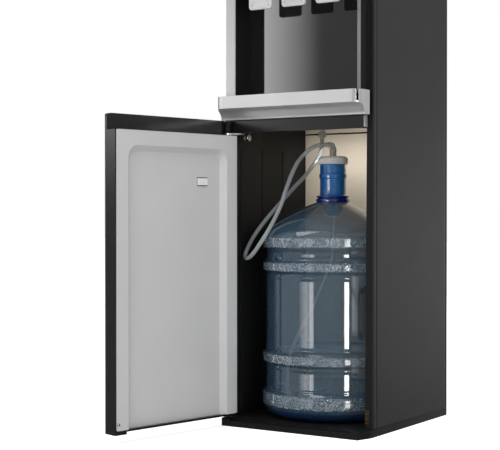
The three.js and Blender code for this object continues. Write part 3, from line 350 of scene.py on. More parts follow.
class Group:
    """A shader node group with named sockets, filled in by adding nodes."""

    def __init__(self, name: str, inputs: dict[str, float | tuple], outputs: dict[str, str]) -> None:
        """Makes the group's sockets.

        Args:
            name: the group's name.
            inputs: each input's name and default, where a number makes a value, four a colour and three a vector.
            outputs: each output's name and socket type.
        """
        self.tree = bpy.data.node_groups.new(name, "ShaderNodeTree")
        for socket, default in inputs.items():
            size = len(default) if isinstance(default, tuple) else 1
            kind = {1: "NodeSocketFloat", 3: "NodeSocketVector", 4: "NodeSocketColor"}[size]
            made = self.tree.interface.new_socket(socket, in_out="INPUT", socket_type=kind)
            made.default_value = default
        for socket, kind in outputs.items():
            self.tree.interface.new_socket(socket, in_out="OUTPUT", socket_type=kind)
        self.inputs = self.tree.nodes.new("NodeGroupInput").outputs
        self.outputs = self.tree.nodes.new("NodeGroupOutput").inputs

    def node(self, kind: str, links: dict[str | int, object], **settings: object) -> bpy.types.Node:
        """Adds a node to the group; see add_node."""
        return add_node(self.tree, kind, links, **settings)

    def out(self, socket: str, source: bpy.types.NodeSocket) -> None:
        """Joins a node's output to one of the group's outputs."""
        self.tree.links.new(source, self.outputs[socket])


def add_node(tree: bpy.types.NodeTree, kind: str, links: dict[str | int, object], **settings: object) -> bpy.types.Node:
    """Adds a node, sets its properties, and joins or sets its inputs.

    Args:
        tree: the node tree.
        kind: the node's type without its ShaderNode prefix.
        links: each input's name or number, with the output socket or the value that it takes.
        settings: properties of the node.

    Returns:
        The node.
    """
    node = tree.nodes.new("ShaderNode" + kind)
    for key, value in settings.items():
        setattr(node, key, value)
    for key, value in links.items():
        if isinstance(value, bpy.types.NodeSocket):
            tree.links.new(value, node.inputs[key])
        else:
            node.inputs[key].default_value = value
    return node


def mix_colour(tree: bpy.types.NodeTree, factor: object, first: object, second: object) -> bpy.types.NodeSocket:
    """Mixes two colours by a factor and returns the output socket."""
    node = tree.nodes.new("ShaderNodeMix")
    node.data_type = "RGBA"
    for key, value in ((0, factor), (6, first), (7, second)):
        if isinstance(value, bpy.types.NodeSocket):
            tree.links.new(value, node.inputs[key])
        else:
            node.inputs[key].default_value = value
    return node.outputs[2]


COLOUR, VALUE = "NodeSocketColor", "NodeSocketFloat"


def make_moulded_group() -> bpy.types.NodeTree:
    """A moulded or painted surface: soft patches of tone, handling smears in the gloss, and a fine grain."""
    group = Group(
        "moulded_surface",
        {
            "Vector": (0.0, 0.0, 0.0),
            "Colour": (0.5, 0.5, 0.5, 1.0),
            "Shade": (0.4, 0.4, 0.4, 1.0),
            "Patch Scale": 9.0,
            "Grain Scale": 900.0,
            "Roughness": 0.4,
            "Spread": 0.1,
        },
        {"Colour": COLOUR, "Roughness": VALUE, "Height": VALUE},
    )
    pin = group.inputs
    patch = group.node("TexNoise", {"Vector": pin["Vector"], "Scale": pin["Patch Scale"], "Detail": 5.0})
    mask = group.node("MapRange", {"Value": patch.outputs[0], "From Min": 0.35, "From Max": 0.7})
    group.out("Colour", mix_colour(group.tree, mask.outputs[0], pin["Colour"], pin["Shade"]))
    faster = group.node("Math", {0: pin["Patch Scale"], 1: 3.7}, operation="MULTIPLY")
    smear = group.node(
        "TexNoise",
        {"Vector": pin["Vector"], "Scale": faster.outputs[0], "Detail": 6.0, "Distortion": 0.8},
    )
    centred = group.node("Math", {0: smear.outputs[0], 1: 0.5}, operation="SUBTRACT")
    spread = group.node(
        "Math",
        {0: centred.outputs[0], 1: pin["Spread"], 2: pin["Roughness"]},
        operation="MULTIPLY_ADD",
    )
    group.out("Roughness", spread.outputs[0])
    grain = group.node("TexNoise", {"Vector": pin["Vector"], "Scale": pin["Grain Scale"], "Detail": 3.0})
    group.out("Height", grain.outputs[0])
    return group.tree


def make_brushed_group() -> bpy.types.NodeTree:
    """Brushed or drawn metal: fine lines along one axis, whose tone and gloss change from line to line."""
    group = Group(
        "brushed_metal",
        {
            "Vector": (0.0, 0.0, 0.0),
            "Stretch": (40.0, 1500.0, 1500.0),
            "Colour": (0.6, 0.6, 0.6, 1.0),
            "Shade": (0.5, 0.5, 0.5, 1.0),
            "Roughness": 0.3,
            "Spread": 0.12,
        },
        {"Colour": COLOUR, "Roughness": VALUE, "Height": VALUE},
    )
    pin = group.inputs
    drawn = group.node("VectorMath", {0: pin["Vector"], 1: pin["Stretch"]}, operation="MULTIPLY")
    lines = group.node("TexNoise", {"Vector": drawn.outputs[0], "Scale": 1.0, "Detail": 4.0})
    group.out("Colour", mix_colour(group.tree, lines.outputs[0], pin["Colour"], pin["Shade"]))
    cloud = group.node("TexNoise", {"Vector": pin["Vector"], "Scale": 22.0, "Detail": 3.0})
    centred = group.node("Math", {0: cloud.outputs[0], 1: 0.5}, operation="SUBTRACT")
    spread = group.node(
        "Math",
        {0: centred.outputs[0], 1: pin["Spread"], 2: pin["Roughness"]},
        operation="MULTIPLY_ADD",
    )
    group.out("Roughness", spread.outputs[0])
    group.out("Height", lines.outputs[0])
    return group.tree


def make_dust_group() -> bpy.types.NodeTree:
    """Dust that settles where a surface faces up, in a broken pattern."""
    group = Group("settled_dust", {"Vector": (0.0, 0.0, 0.0), "Amount": 0.3}, {"Mask": VALUE})
    facing = group.node("NewGeometry", {})
    split = group.node("SeparateXYZ", {0: facing.outputs["Normal"]})
    level = group.node("MapRange", {"Value": split.outputs[2], "From Min": 0.6, "From Max": 1.0})
    speck = group.node("TexNoise", {"Vector": group.inputs["Vector"], "Scale": 60.0, "Detail": 8.0})
    broken = group.node("MapRange", {"Value": speck.outputs[0], "From Min": 0.4, "From Max": 0.75})
    both = group.node("Math", {0: level.outputs[0], 1: broken.outputs[0]}, operation="MULTIPLY")
    amount = group.node("Math", {0: both.outputs[0], 1: group.inputs["Amount"]}, operation="MULTIPLY")
    group.out("Mask", amount.outputs[0])
    return group.tree


def make_band_group() -> bpy.types.NodeTree:
    """A mask that is one between two heights and fades out over a soft edge."""
    group = Group("height_band", {"Vector": (0.0, 0.0, 0.0), "Low": 0.1, "High": 0.2, "Soft": 0.002}, {"Mask": VALUE})
    pin = group.inputs
    height = group.node("SeparateXYZ", {0: pin["Vector"]}).outputs[2]
    over = group.node("Math", {0: height, 1: pin["Low"]}, operation="SUBTRACT")
    under = group.node("Math", {0: pin["High"], 1: height}, operation="SUBTRACT")
    near = group.node("Math", {0: over.outputs[0], 1: under.outputs[0]}, operation="MINIMUM")
    soft = group.node("Math", {0: near.outputs[0], 1: pin["Soft"]}, operation="DIVIDE", use_clamp=True)
    group.out("Mask", soft.outputs[0])
    return group.tree


MOULDED = make_moulded_group()
BRUSHED = make_brushed_group()
DUST = make_dust_group()
BAND = make_band_group()

Rgb = tuple[float, float, float]


def rgba(colour: Rgb) -> tuple[float, float, float, float]:
    """A colour with full alpha."""
    return (*colour, 1.0)


class Material:
    """A material under construction: one Principled shader fed by groups that read Object coordinates."""

    def __init__(self, name: str, **sockets: float | tuple) -> None:
        """Makes the material.

        Args:
            name: the finish's name.
            sockets: plain values for the shader's sockets, with _ for a space.
        """
        self.made = bpy.data.materials.new(name)
        self.made.use_nodes = True
        self.tree = self.made.node_tree
        self.shader = self.tree.nodes["Principled BSDF"]
        self.place = self.tree.nodes.new("ShaderNodeTexCoord").outputs["Object"]
        for socket, value in sockets.items():
            self.shader.inputs[socket.replace("_", " ")].default_value = value

    def group(self, tree: bpy.types.NodeTree, **values: object) -> bpy.types.Node:
        """Places a node group on Object coordinates with its own values."""
        node = self.tree.nodes.new("ShaderNodeGroup")
        node.node_tree = tree
        self.tree.links.new(self.place, node.inputs["Vector"])
        for key, value in values.items():
            node.inputs[key.replace("_", " ")].default_value = value
        return node

    def node(self, kind: str, links: dict[str | int, object], **settings: object) -> bpy.types.Node:
        """Adds a node to the material; see add_node."""
        return add_node(self.tree, kind, links, **settings)

    def feed(self, socket: str, source: bpy.types.NodeSocket) -> None:
        """Joins an output to one of the shader's sockets."""
        self.tree.links.new(source, self.shader.inputs[socket])

    def bump(self, height: bpy.types.NodeSocket, depth: float, strength: float = 1.0) -> None:
        """Raises the surface by a height pattern, up to a depth in metres."""
        node = self.node("Bump", {"Height": height, "Distance": depth, "Strength": strength})
        self.feed("Normal", node.outputs[0])


@dataclass(frozen=True)
class Moulded:
    """A moulded plastic or painted sheet finish."""

    name: str
    colour: Rgb
    shade: Rgb
    roughness: float = 0.4
    spread: float = 0.1
    patch: float = 9.0
    grain: float = 900.0
    depth: float = 0.00004
    metallic: float = 0.0
    specular: float = 0.5
    coat: float = 0.0
    dust: float = 0.0
    index: float = 1.5
    alpha: float = 1.0
    subsurface: float = 0.0

    def build(self) -> bpy.types.Material:
        """Makes the finish.

        Returns:
            The material.
        """
        material = Material(
            self.name,
            Metallic=self.metallic,
            Specular_IOR_Level=self.specular,
            Coat_Weight=self.coat,
            Coat_Roughness=0.06,
            IOR=self.index,
            Alpha=self.alpha,
            Subsurface_Weight=self.subsurface,
            Subsurface_Radius=(0.01, 0.01, 0.01),
        )
        surface_node = material.group(
            MOULDED,
            Colour=rgba(self.colour),
            Shade=rgba(self.shade),
            Patch_Scale=self.patch,
            Grain_Scale=self.grain,
            Roughness=self.roughness,
            Spread=self.spread,
        )
        colour, rough = surface_node.outputs["Colour"], surface_node.outputs["Roughness"]
        if self.dust:
            mask = material.group(DUST, Amount=self.dust).outputs["Mask"]
            colour = mix_colour(material.tree, mask, colour, rgba((0.42, 0.41, 0.39)))
            rough = material.node("Math", {0: rough, 1: mask}, operation="ADD").outputs[0]
        material.feed("Base Color", colour)
        material.feed("Roughness", rough)
        material.bump(surface_node.outputs["Height"], self.depth)
        return material.made


@dataclass(frozen=True)
class Brushed:
    """A metal with fine lines along one axis."""

    name: str
    colour: Rgb
    shade: Rgb
    roughness: float = 0.3
    spread: float = 0.12
    stretch: tuple[float, float, float] = (40.0, 1500.0, 1500.0)
    depth: float = 0.00003
    metallic: float = 1.0

    def build(self) -> bpy.types.Material:
        """Makes the finish.

        Returns:
            The material.
        """
        material = Material(self.name, Metallic=self.metallic)
        lines = material.group(
            BRUSHED,
            Stretch=self.stretch,
            Colour=rgba(self.colour),
            Shade=rgba(self.shade),
            Roughness=self.roughness,
            Spread=self.spread,
        )
        material.feed("Base Color", lines.outputs["Colour"])
        material.feed("Roughness", lines.outputs["Roughness"])
        material.bump(lines.outputs["Height"], self.depth)
        return material.made


@dataclass(frozen=True)
class ClearPlastic:
    """Thin clear plastic: see-through where it faces the eye, dark and dense where it turns away.

    Bands between given heights carry a cast stipple, and others have the deep tint of thick plastic.
    """

    name: str
    colour: Rgb
    deep: Rgb
    clear: float = 0.3
    dense: float = 0.95
    roughness: float = 0.05
    turn: float = 0.35
    stipple: tuple[tuple[float, float], ...] = ()
    tinted: tuple[tuple[float, float, float], ...] = ()
    cell: float = 360.0
    depth: float = 0.0010
    index: float = 2.0

    def build(self) -> bpy.types.Material:
        """Makes the finish.

        Returns:
            The material.
        """
        material = Material(self.name, IOR=self.index, Coat_Weight=1.0, Coat_Roughness=0.03)
        body = material.group(
            MOULDED,
            Colour=rgba(self.colour),
            Shade=rgba(tuple(channel * 0.8 for channel in self.colour)),
            Patch_Scale=14.0,
            Grain_Scale=120.0,
            Roughness=self.roughness,
            Spread=0.06,
        )
        turned = material.node("LayerWeight", {"Blend": self.turn}).outputs["Facing"]
        colour = mix_colour(material.tree, turned, body.outputs["Colour"], rgba(self.deep))
        reach = {"Value": turned, "From Min": 0.0, "From Max": 0.85, "To Min": self.clear, "To Max": self.dense}
        alpha = material.node("MapRange", reach).outputs[0]
        for low, high, soft in self.tinted:
            mask = material.group(BAND, Low=low, High=high, Soft=soft).outputs["Mask"]
            colour = mix_colour(material.tree, mask, colour, rgba(self.deep))
            alpha = material.node("Math", {0: mask, 1: 0.45, 2: alpha}, operation="MULTIPLY_ADD").outputs[0]
        cells = material.node("TexVoronoi", {"Vector": material.place, "Scale": self.cell}).outputs[0]
        height, rough = body.outputs["Height"], body.outputs["Roughness"]
        height = material.node("Math", {0: height, 1: 0.03}, operation="MULTIPLY").outputs[0]
        for low, high in self.stipple:
            mask = material.group(BAND, Low=low, High=high, Soft=0.002).outputs["Mask"]
            pattern = material.node("Math", {0: cells, 1: mask}, operation="MULTIPLY").outputs[0]
            height = material.node("Math", {0: height, 1: pattern}, operation="ADD").outputs[0]
            rough = material.node("Math", {0: mask, 1: 0.1, 2: rough}, operation="MULTIPLY_ADD").outputs[0]
            alpha = material.node("Math", {0: mask, 1: 0.2, 2: alpha}, operation="MULTIPLY_ADD").outputs[0]
            speck = material.node("MapRange", {"Value": pattern, "From Min": 0.5, "From Max": 0.62}).outputs[0]
            colour = mix_colour(material.tree, speck, colour, rgba((0.34, 0.40, 0.44)))
        held = material.node("Math", {0: alpha, 1: 1.0}, operation="MINIMUM").outputs[0]
        material.feed("Base Color", colour)
        material.feed("Roughness", rough)
        material.feed("Alpha", held)
        material.bump(height, self.depth)
        return material.made


BOTTLE_BASE = 0.0133
STIPPLE_BANDS = ((0.036, 0.062), (0.117, 0.136), (0.290, 0.308), (0.334, 0.355))
TINT_BANDS = ((-0.02, 0.044, 0.016), (0.419, 0.434, 0.002))


class Finish(Enum):
    """The dispenser's finishes, each with the record's slot that it belongs to."""

    BLACK_SATIN = (
        "black_satin",
        Moulded(
            name="black_satin", colour=(0.010, 0.010, 0.0105), shade=(0.008, 0.008, 0.0085), roughness=0.45,
            spread=0.1, specular=0.14, dust=0.01,
        ),
    )
    BLACK_BAY = (
        "black_satin",
        Moulded(
            name="black_bay", colour=(0.009, 0.009, 0.0095), shade=(0.007, 0.007, 0.0075), roughness=0.5,
            spread=0.12, patch=5.0, grain=700.0, specular=0.2,
        ),
    )
    BLACK_GLOSS = (
        "black_gloss",
        Moulded(
            name="black_gloss", colour=(0.010, 0.010, 0.011), shade=(0.008, 0.008, 0.009), roughness=0.16,
            spread=0.05, patch=6.0, grain=60.0, depth=0.00001, specular=0.4,
        ),
    )
    BLACK_MIRROR = (
        "black_gloss",
        Moulded(
            name="black_mirror", colour=(0.010, 0.010, 0.011), shade=(0.008, 0.008, 0.009), roughness=0.04,
            spread=0.03, patch=6.0, grain=40.0, depth=0.000004, index=2.1,
        ),
    )
    BLACK_SHEET = (
        "black_sheet",
        Moulded(
            name="black_sheet", colour=(0.028, 0.028, 0.029), shade=(0.024, 0.024, 0.025), roughness=0.45,
            spread=0.08, patch=4.0, grain=420.0, depth=0.00006, specular=0.2,
        ),
    )
    SILVER = (
        "silver_tray",
        Moulded(
            name="silver_tray", colour=(0.56, 0.56, 0.565), shade=(0.52, 0.52, 0.525), roughness=0.3,
            spread=0.05, patch=12.0, grain=1500.0, depth=0.00002, metallic=0.55,
        ),
    )
    CHROME = (
        "chrome_trim",
        Brushed(
            name="chrome_trim", colour=(0.36, 0.36, 0.37), shade=(0.32, 0.32, 0.33), roughness=0.35,
            spread=0.08, stretch=(900.0, 900.0, 20.0), metallic=0.2,
        ),
    )
    LINER = (
        "grey_liner",
        Moulded(
            name="grey_liner", colour=(0.57, 0.57, 0.575), shade=(0.54, 0.54, 0.545), roughness=0.42,
            spread=0.1, patch=7.0, grain=650.0, depth=0.00006,
        ),
    )
    BEIGE = (
        "beige_wall",
        Moulded(
            name="beige_wall", colour=(0.70, 0.62, 0.50), shade=(0.62, 0.54, 0.42), roughness=0.6, spread=0.1,
            patch=8.0, grain=300.0, depth=0.0001,
        ),
    )
    BRASS = (
        "brass",
        Brushed(
            name="brass", colour=(0.36, 0.24, 0.08), shade=(0.14, 0.09, 0.03), roughness=0.26, spread=0.1,
            stretch=(700.0, 700.0, 700.0),
        ),
    )
    BRASS_DARK = (
        "brass",
        Brushed(
            name="brass_case", colour=(0.09, 0.06, 0.02), shade=(0.04, 0.026, 0.01), roughness=0.5, spread=0.1,
            stretch=(700.0, 700.0, 700.0), metallic=0.5,
        ),
    )
    STEEL = (
        "steel",
        Brushed(
            name="steel", colour=(0.50, 0.50, 0.51), shade=(0.38, 0.38, 0.39), roughness=0.26, spread=0.12,
        ),
    )
    FOAM = (
        "foam_jacket",
        Moulded(
            name="foam_jacket", colour=(0.045, 0.045, 0.045), shade=(0.025, 0.025, 0.025), roughness=0.9,
            spread=0.1, patch=20.0, grain=260.0, depth=0.0006,
        ),
    )
    HOT_METAL = (
        "hot_tank_metal",
        Brushed(
            name="hot_tank_metal", colour=(0.58, 0.57, 0.55), shade=(0.42, 0.40, 0.38), roughness=0.34,
            spread=0.15,
        ),
    )
    ENAMEL = (
        "black_enamel",
        Moulded(
            name="black_enamel", colour=(0.016, 0.016, 0.016), shade=(0.012, 0.012, 0.012), roughness=0.28,
            spread=0.14, patch=14.0, grain=300.0, depth=0.00008, dust=0.12,
        ),
    )
    BOTTLE = (
        "bottle_clear",
        ClearPlastic(
            name="bottle_clear", colour=(0.115, 0.205, 0.28), deep=(0.006, 0.03, 0.085), clear=0.40,
            dense=0.96, roughness=0.04, turn=0.34, stipple=STIPPLE_BANDS, tinted=TINT_BANDS,
        ),
    )
    NECK = (
        "bottle_clear",
        ClearPlastic(
            name="bottle_neck_blue", colour=(0.015, 0.26, 0.72), deep=(0.004, 0.02, 0.20), clear=0.62,
            dense=0.97, roughness=0.06, turn=0.4, stipple=(), tinted=((0.41, 0.434, 0.003),),
        ),
    )
    WHITE = (
        "white_cap",
        Moulded(
            name="white_cap", colour=(0.84, 0.83, 0.80), shade=(0.76, 0.75, 0.72), roughness=0.4, spread=0.1,
            patch=40.0, grain=900.0, subsurface=0.15,
        ),
    )
    PADDLE = (
        "paddle_clear",
        Moulded(
            name="paddle_milky", colour=(0.72, 0.73, 0.74), shade=(0.60, 0.61, 0.62), roughness=0.14,
            spread=0.06, patch=30.0, grain=200.0, depth=0.00005, alpha=0.85,
        ),
    )
    FITTING = (
        "probe_fitting",
        Moulded(
            name="probe_fitting", colour=(0.66, 0.64, 0.59), shade=(0.56, 0.54, 0.49), roughness=0.3,
            spread=0.1, patch=60.0, grain=700.0, alpha=0.88,
        ),
    )
    TUBE = (
        "probe_fitting",
        ClearPlastic(
            name="clear_tube", colour=(0.60, 0.64, 0.66), deep=(0.03, 0.04, 0.05), clear=0.45, dense=0.95,
            roughness=0.1, turn=0.45, index=1.6,
        ),
    )
    HOSE = (
        "hose_clear",
        ClearPlastic(
            name="hose_clear", colour=(0.55, 0.60, 0.62), deep=(0.30, 0.34, 0.36), clear=0.5, dense=0.98,
            roughness=0.12, turn=0.5, depth=0.0002, index=1.7,
        ),
    )
    RED = (
        "switch_red",
        Moulded(
            name="switch_red", colour=(0.42, 0.03, 0.025), shade=(0.34, 0.02, 0.02), roughness=0.25,
            spread=0.08, patch=60.0, grain=900.0,
        ),
    )
    GREEN = (
        "switch_green",
        Moulded(
            name="switch_green", colour=(0.02, 0.28, 0.08), shade=(0.015, 0.22, 0.06), roughness=0.25,
            spread=0.08, patch=60.0, grain=900.0,
        ),
    )
    RUBBER = (
        "rubber_foot",
        Moulded(
            name="rubber_foot", colour=(0.02, 0.02, 0.02), shade=(0.03, 0.03, 0.03), roughness=0.8, spread=0.1,
            patch=50.0, grain=500.0, depth=0.0002,
        ),
    )

    @property
    def slot(self) -> str:
        """The record's slot."""
        return self.value[0]

    def material(self) -> bpy.types.Material:
        """The finish's material, made once."""
        if self not in MADE:
            MADE[self] = self.value[1].build()
        return MADE[self]


MADE: dict[Finish, bpy.types.Material] = {}


# ---- pieces ----


def tidy_mesh(mesh: bpy.types.Mesh, smooth: bool = True) -> None:
    """Merges doubles, points the faces outwards and sets smooth shading with sharp creases."""
    work = bmesh.new()
    work.from_mesh(mesh)
    bmesh.ops.remove_doubles(work, verts=work.verts, dist=MERGE)
    bmesh.ops.recalc_face_normals(work, faces=work.faces)
    work.to_mesh(mesh)
    work.free()
    mesh.polygons.foreach_set("use_smooth", np.full(len(mesh.polygons), smooth))
    mesh.set_sharp_from_angle(angle=SMOOTH_ANGLE)
    mesh.update()


def settle(piece: bpy.types.Object, finish: Finish, body: str, nodes: tuple[str, ...] = ()) -> bpy.types.Object:
    """Dresses a piece, has it ride on a body, and hides the nodes that it stands for.

    Args:
        piece: the piece's object.
        finish: its finish.
        body: the body that it moves with.
        nodes: the frame's nodes that it replaces.

    Returns:
        The piece.
    """
    piece.data.materials.clear()
    piece.data.materials.append(finish.material())
    if nodes:
        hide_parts(*nodes)
    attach(piece, body)
    LOG.info("%s: %d faces, on %s", piece.name, len(piece.data.polygons), body)
    return piece


def new_object(name: str, shape: Shape) -> bpy.types.Object:
    """A shape as an object in the scene."""
    mesh = bpy.data.meshes.new(name)
    mesh.from_pydata(shape.vertices.tolist(), [], shape.faces)
    tidy_mesh(mesh)
    piece = bpy.data.objects.new(name, mesh)
    bpy.context.scene.collection.objects.link(piece)
    return piece


def add_piece(
    name: str, shape: Shape, finish: Finish, body: str = "cabinet", nodes: tuple[str, ...] = ()
) -> bpy.types.Object:
    """Makes a shape a piece; see settle for the other arguments."""
    return settle(new_object(name, shape), finish, body, nodes)


def softened(
    node: str, finish: Finish, width: float = 0.0008, segments: int = 3, curved: bool = False
) -> bpy.types.Object:
    """A copy of a node with rounded edges, which stands for it.

    Flat neighbours are joined, every edge sharper than the limit is rounded, and the normals are
    weighted by area so that flat faces stay flat in the shading.

    Args:
        node: the frame's node.
        finish: the copy's finish.
        width: how far the rounding reaches from each edge.
        segments: steps of the rounding.
        curved: the node is mostly curved, so its normals go by angle and not by area.

    Returns:
        The piece.
    """
    source = frame["nodes"][node]
    mesh = source.data.copy()
    work = bmesh.new()
    work.from_mesh(mesh)
    bmesh.ops.remove_doubles(work, verts=work.verts, dist=MERGE)
    bmesh.ops.dissolve_limit(work, angle_limit=math.radians(1.0), verts=work.verts, edges=work.edges)
    work.to_mesh(mesh)
    work.free()
    mesh.name = node + "_soft"
    for attribute in [a.name for a in mesh.attributes if a.name == "custom_normal"]:
        mesh.attributes.remove(mesh.attributes[attribute])
    mesh.polygons.foreach_set("use_smooth", np.full(len(mesh.polygons), True))
    mesh.set_sharp_from_angle(angle=SMOOTH_ANGLE)
    piece = bpy.data.objects.new(node + "_soft", mesh)
    bpy.context.scene.collection.objects.link(piece)
    bevel = piece.modifiers.new("edges", "BEVEL")
    bevel.limit_method = "ANGLE"
    bevel.angle_limit = SMOOTH_ANGLE
    bevel.width = width
    bevel.segments = segments
    bevel.miter_outer = "MITER_ARC"
    weighted = piece.modifiers.new("shading", "WEIGHTED_NORMAL")
    weighted.keep_sharp = True
    weighted.mode = "CORNER_ANGLE" if curved else "FACE_AREA"
    return settle(piece, finish, source["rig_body"], (node,))


def span(node: str) -> tuple[np.ndarray, np.ndarray]:
    """The lowest and highest corner of a node, as arrays."""
    low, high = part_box(node)
    return np.array(low), np.array(high)


# ---- camera and room ----


@dataclass
class Studio:
    """The camera, the floor, the soft lights and the upright light boxes that only gloss mirrors."""

    camera_place: tuple[float, float, float] = (1.210, -2.139, 0.398)
    camera_tilt: float = 89.50
    camera_heading: float = 33.32
    lens: float = 91.44
    floor_half: float = 14.0
    world: float = 0.36
    floor_glow: float = 0.72
    gloss_base: float = 0.3
    high_boxes: tuple[tuple[float, float, float, float], ...] = ((-168.0, -120.2, 2.6, 2.6), (20.0, 70.0, 20.0, 0.8))
    low_boxes: tuple[tuple[float, float, float, float], ...] = (
        (-122.0, -92.0, 14.0, 3.0),
        (-101.0, -92.5, 1.5, 4.0),
        (-42.0, -24.0, 1.5, 20.0),
        (-180.0, -172.0, 1.0, 8.0),
        (70.0, 100.0, 8.0, 3.0),
    )

    def make_camera(self) -> None:
        """Makes the camera and gives it to the scene."""
        data = bpy.data.cameras.new("camera")
        data.lens = self.lens
        data.sensor_width = 36.0
        data.clip_end = 200.0
        camera = bpy.data.objects.new("camera", data)
        camera.location = self.camera_place
        camera.rotation_euler = (math.radians(self.camera_tilt), 0.0, math.radians(self.camera_heading))
        bpy.context.scene.collection.objects.link(camera)
        bpy.context.scene.camera = camera

    def make_floor(self) -> None:
        """Makes the pale floor."""
        half = self.floor_half
        corners = np.array([[[-half, -half, 0], [half, -half, 0]], [[-half, half, 0], [half, half, 0]]], float)
        floor = new_object("floor", surface(corners, loop_columns=False, caps=False))
        if floor.data.polygons[0].normal.z < 0:
            floor.data.flip_normals()
        material = Material("pale_floor")
        tone = material.group(
            MOULDED,
            Colour=rgba((0.93, 0.93, 0.935)),
            Shade=rgba((0.91, 0.91, 0.915)),
            Roughness=0.6,
            Patch_Scale=1.5,
        )
        material.feed("Base Color", tone.outputs["Colour"])
        material.feed("Roughness", tone.outputs["Roughness"])
        seen = material.node("LightPath", {}).outputs["Is Camera Ray"]
        glow = material.node("Math", {0: seen, 1: self.floor_glow}, operation="MULTIPLY")
        material.feed("Emission Strength", glow.outputs[0])
        material.shader.inputs["Emission Color"].default_value = (1.0, 1.0, 1.0, 1.0)
        floor.data.materials.append(material.made)
        floor.visible_glossy = False

    def make_world(self) -> None:
        """Lights the room evenly, white behind the object, with soft upright boxes that only gloss mirrors.

        A box is one between two compass directions, in degrees from +X, and fades over a soft edge. The high
        boxes show above a low height and the low ones under it.
        """
        world = bpy.data.worlds.new("studio")
        world.use_nodes = True
        tree = world.node_tree
        way = tree.nodes.new("ShaderNodeTexCoord").outputs["Generated"]
        split = add_node(tree, "SeparateXYZ", {0: way})
        compass = add_node(tree, "Math", {0: split.outputs[1], 1: split.outputs[0]}, operation="ARCTAN2")
        degrees = add_node(tree, "Math", {0: compass.outputs[0], 1: 180.0 / math.pi}, operation="MULTIPLY")
        rise = {"Value": split.outputs[2], "From Min": 0.03, "From Max": 0.08}
        high = add_node(tree, "MapRange", rise).outputs[0]
        under = add_node(tree, "Math", {0: 1.0, 1: high}, operation="SUBTRACT").outputs[0]
        dip = {"Value": split.outputs[2], "From Min": -0.22, "From Max": -0.16}
        reach = add_node(tree, "MapRange", dip).outputs[0]
        low = add_node(tree, "Math", {0: under, 1: reach}, operation="MULTIPLY").outputs[0]
        slope = {
            "Value": split.outputs[2],
            "From Min": -0.9,
            "From Max": 0.4,
            "To Min": 0.02,
            "To Max": self.gloss_base,
        }
        glossy = add_node(tree, "MapRange", slope).outputs[0]
        boxes = [(box, high) for box in self.high_boxes] + [(box, low) for box in self.low_boxes]
        for (start, stop, soft, power), level in boxes:
            over = add_node(tree, "Math", {0: degrees.outputs[0], 1: start}, operation="SUBTRACT")
            before = add_node(tree, "Math", {0: stop, 1: degrees.outputs[0]}, operation="SUBTRACT")
            near = add_node(tree, "Math", {0: over.outputs[0], 1: before.outputs[0]}, operation="MINIMUM")
            mask = add_node(tree, "Math", {0: near.outputs[0], 1: soft}, operation="DIVIDE", use_clamp=True)
            shown = add_node(tree, "Math", {0: mask.outputs[0], 1: level}, operation="MULTIPLY")
            added = {0: shown.outputs[0], 1: power, 2: glossy}
            glossy = add_node(tree, "Math", added, operation="MULTIPLY_ADD").outputs[0]
        path = add_node(tree, "LightPath", {})
        pick = {"Factor": path.outputs["Is Glossy Ray"], "A": self.world, "B": glossy}
        soft_light = add_node(tree, "Mix", pick)
        pick = {"Factor": path.outputs["Is Camera Ray"], "A": soft_light.outputs[0], "B": 1.0}
        strength = add_node(tree, "Mix", pick)
        backdrop = tree.nodes["Background"]
        backdrop.inputs["Color"].default_value = (1.0, 1.0, 1.0, 1.0)
        tree.links.new(strength.outputs[0], backdrop.inputs["Strength"])
        bpy.context.scene.world = world

    def add_light(
        self,
        name: str,
        place: tuple[float, float, float],
        target: tuple[float, float, float],
        size: tuple[float, float],
        power: float,
    ) -> None:
        """Adds a rectangular soft light that faces a target and isn't mirrored in gloss.

        Args:
            name: the light's name.
            place: where it hangs.
            target: the point that it faces.
            size: width and height.
            power: in watts.
        """
        data = bpy.data.lights.new(name, "AREA")
        data.shape = "RECTANGLE"
        data.size, data.size_y = size
        data.energy = power
        light = bpy.data.objects.new(name, data)
        aim = np.array(target, float) - np.array(place, float)
        yaw = math.atan2(aim[1], aim[0]) - math.pi / 2
        pitch = math.atan2(aim[2], math.hypot(aim[0], aim[1])) + math.pi / 2
        light.location = place
        light.rotation_euler = (pitch, 0.0, yaw)
        light.visible_glossy = False
        light.visible_camera = False
        bpy.context.scene.collection.objects.link(light)

    def build(self) -> None:
        """Makes the whole room."""
        self.make_floor()
        self.make_world()
        self.add_light("overhead", (0.3, -0.6, 3.4), (0.0, 0.0, 0.3), (3.2, 3.2), 60.0)
        self.add_light("right_box", (2.7, -1.0, 1.2), (0.0, 0.0, 0.35), (0.5, 1.6), 18.0)
        self.add_light("front_box", (0.5, -3.4, 1.6), (0.0, 0.0, 0.4), (1.2, 1.2), 26.0)
        self.add_light("rear_box", (-1.0, 3.0, 2.0), (0.0, 0.0, 0.5), (2.0, 1.5), 30.0)
        self.add_light("bay_fill", (0.0, 0.050, 0.520), (0.0, 0.134, 0.45), (0.24, 0.05), 0.16)


# ---- feed line ----

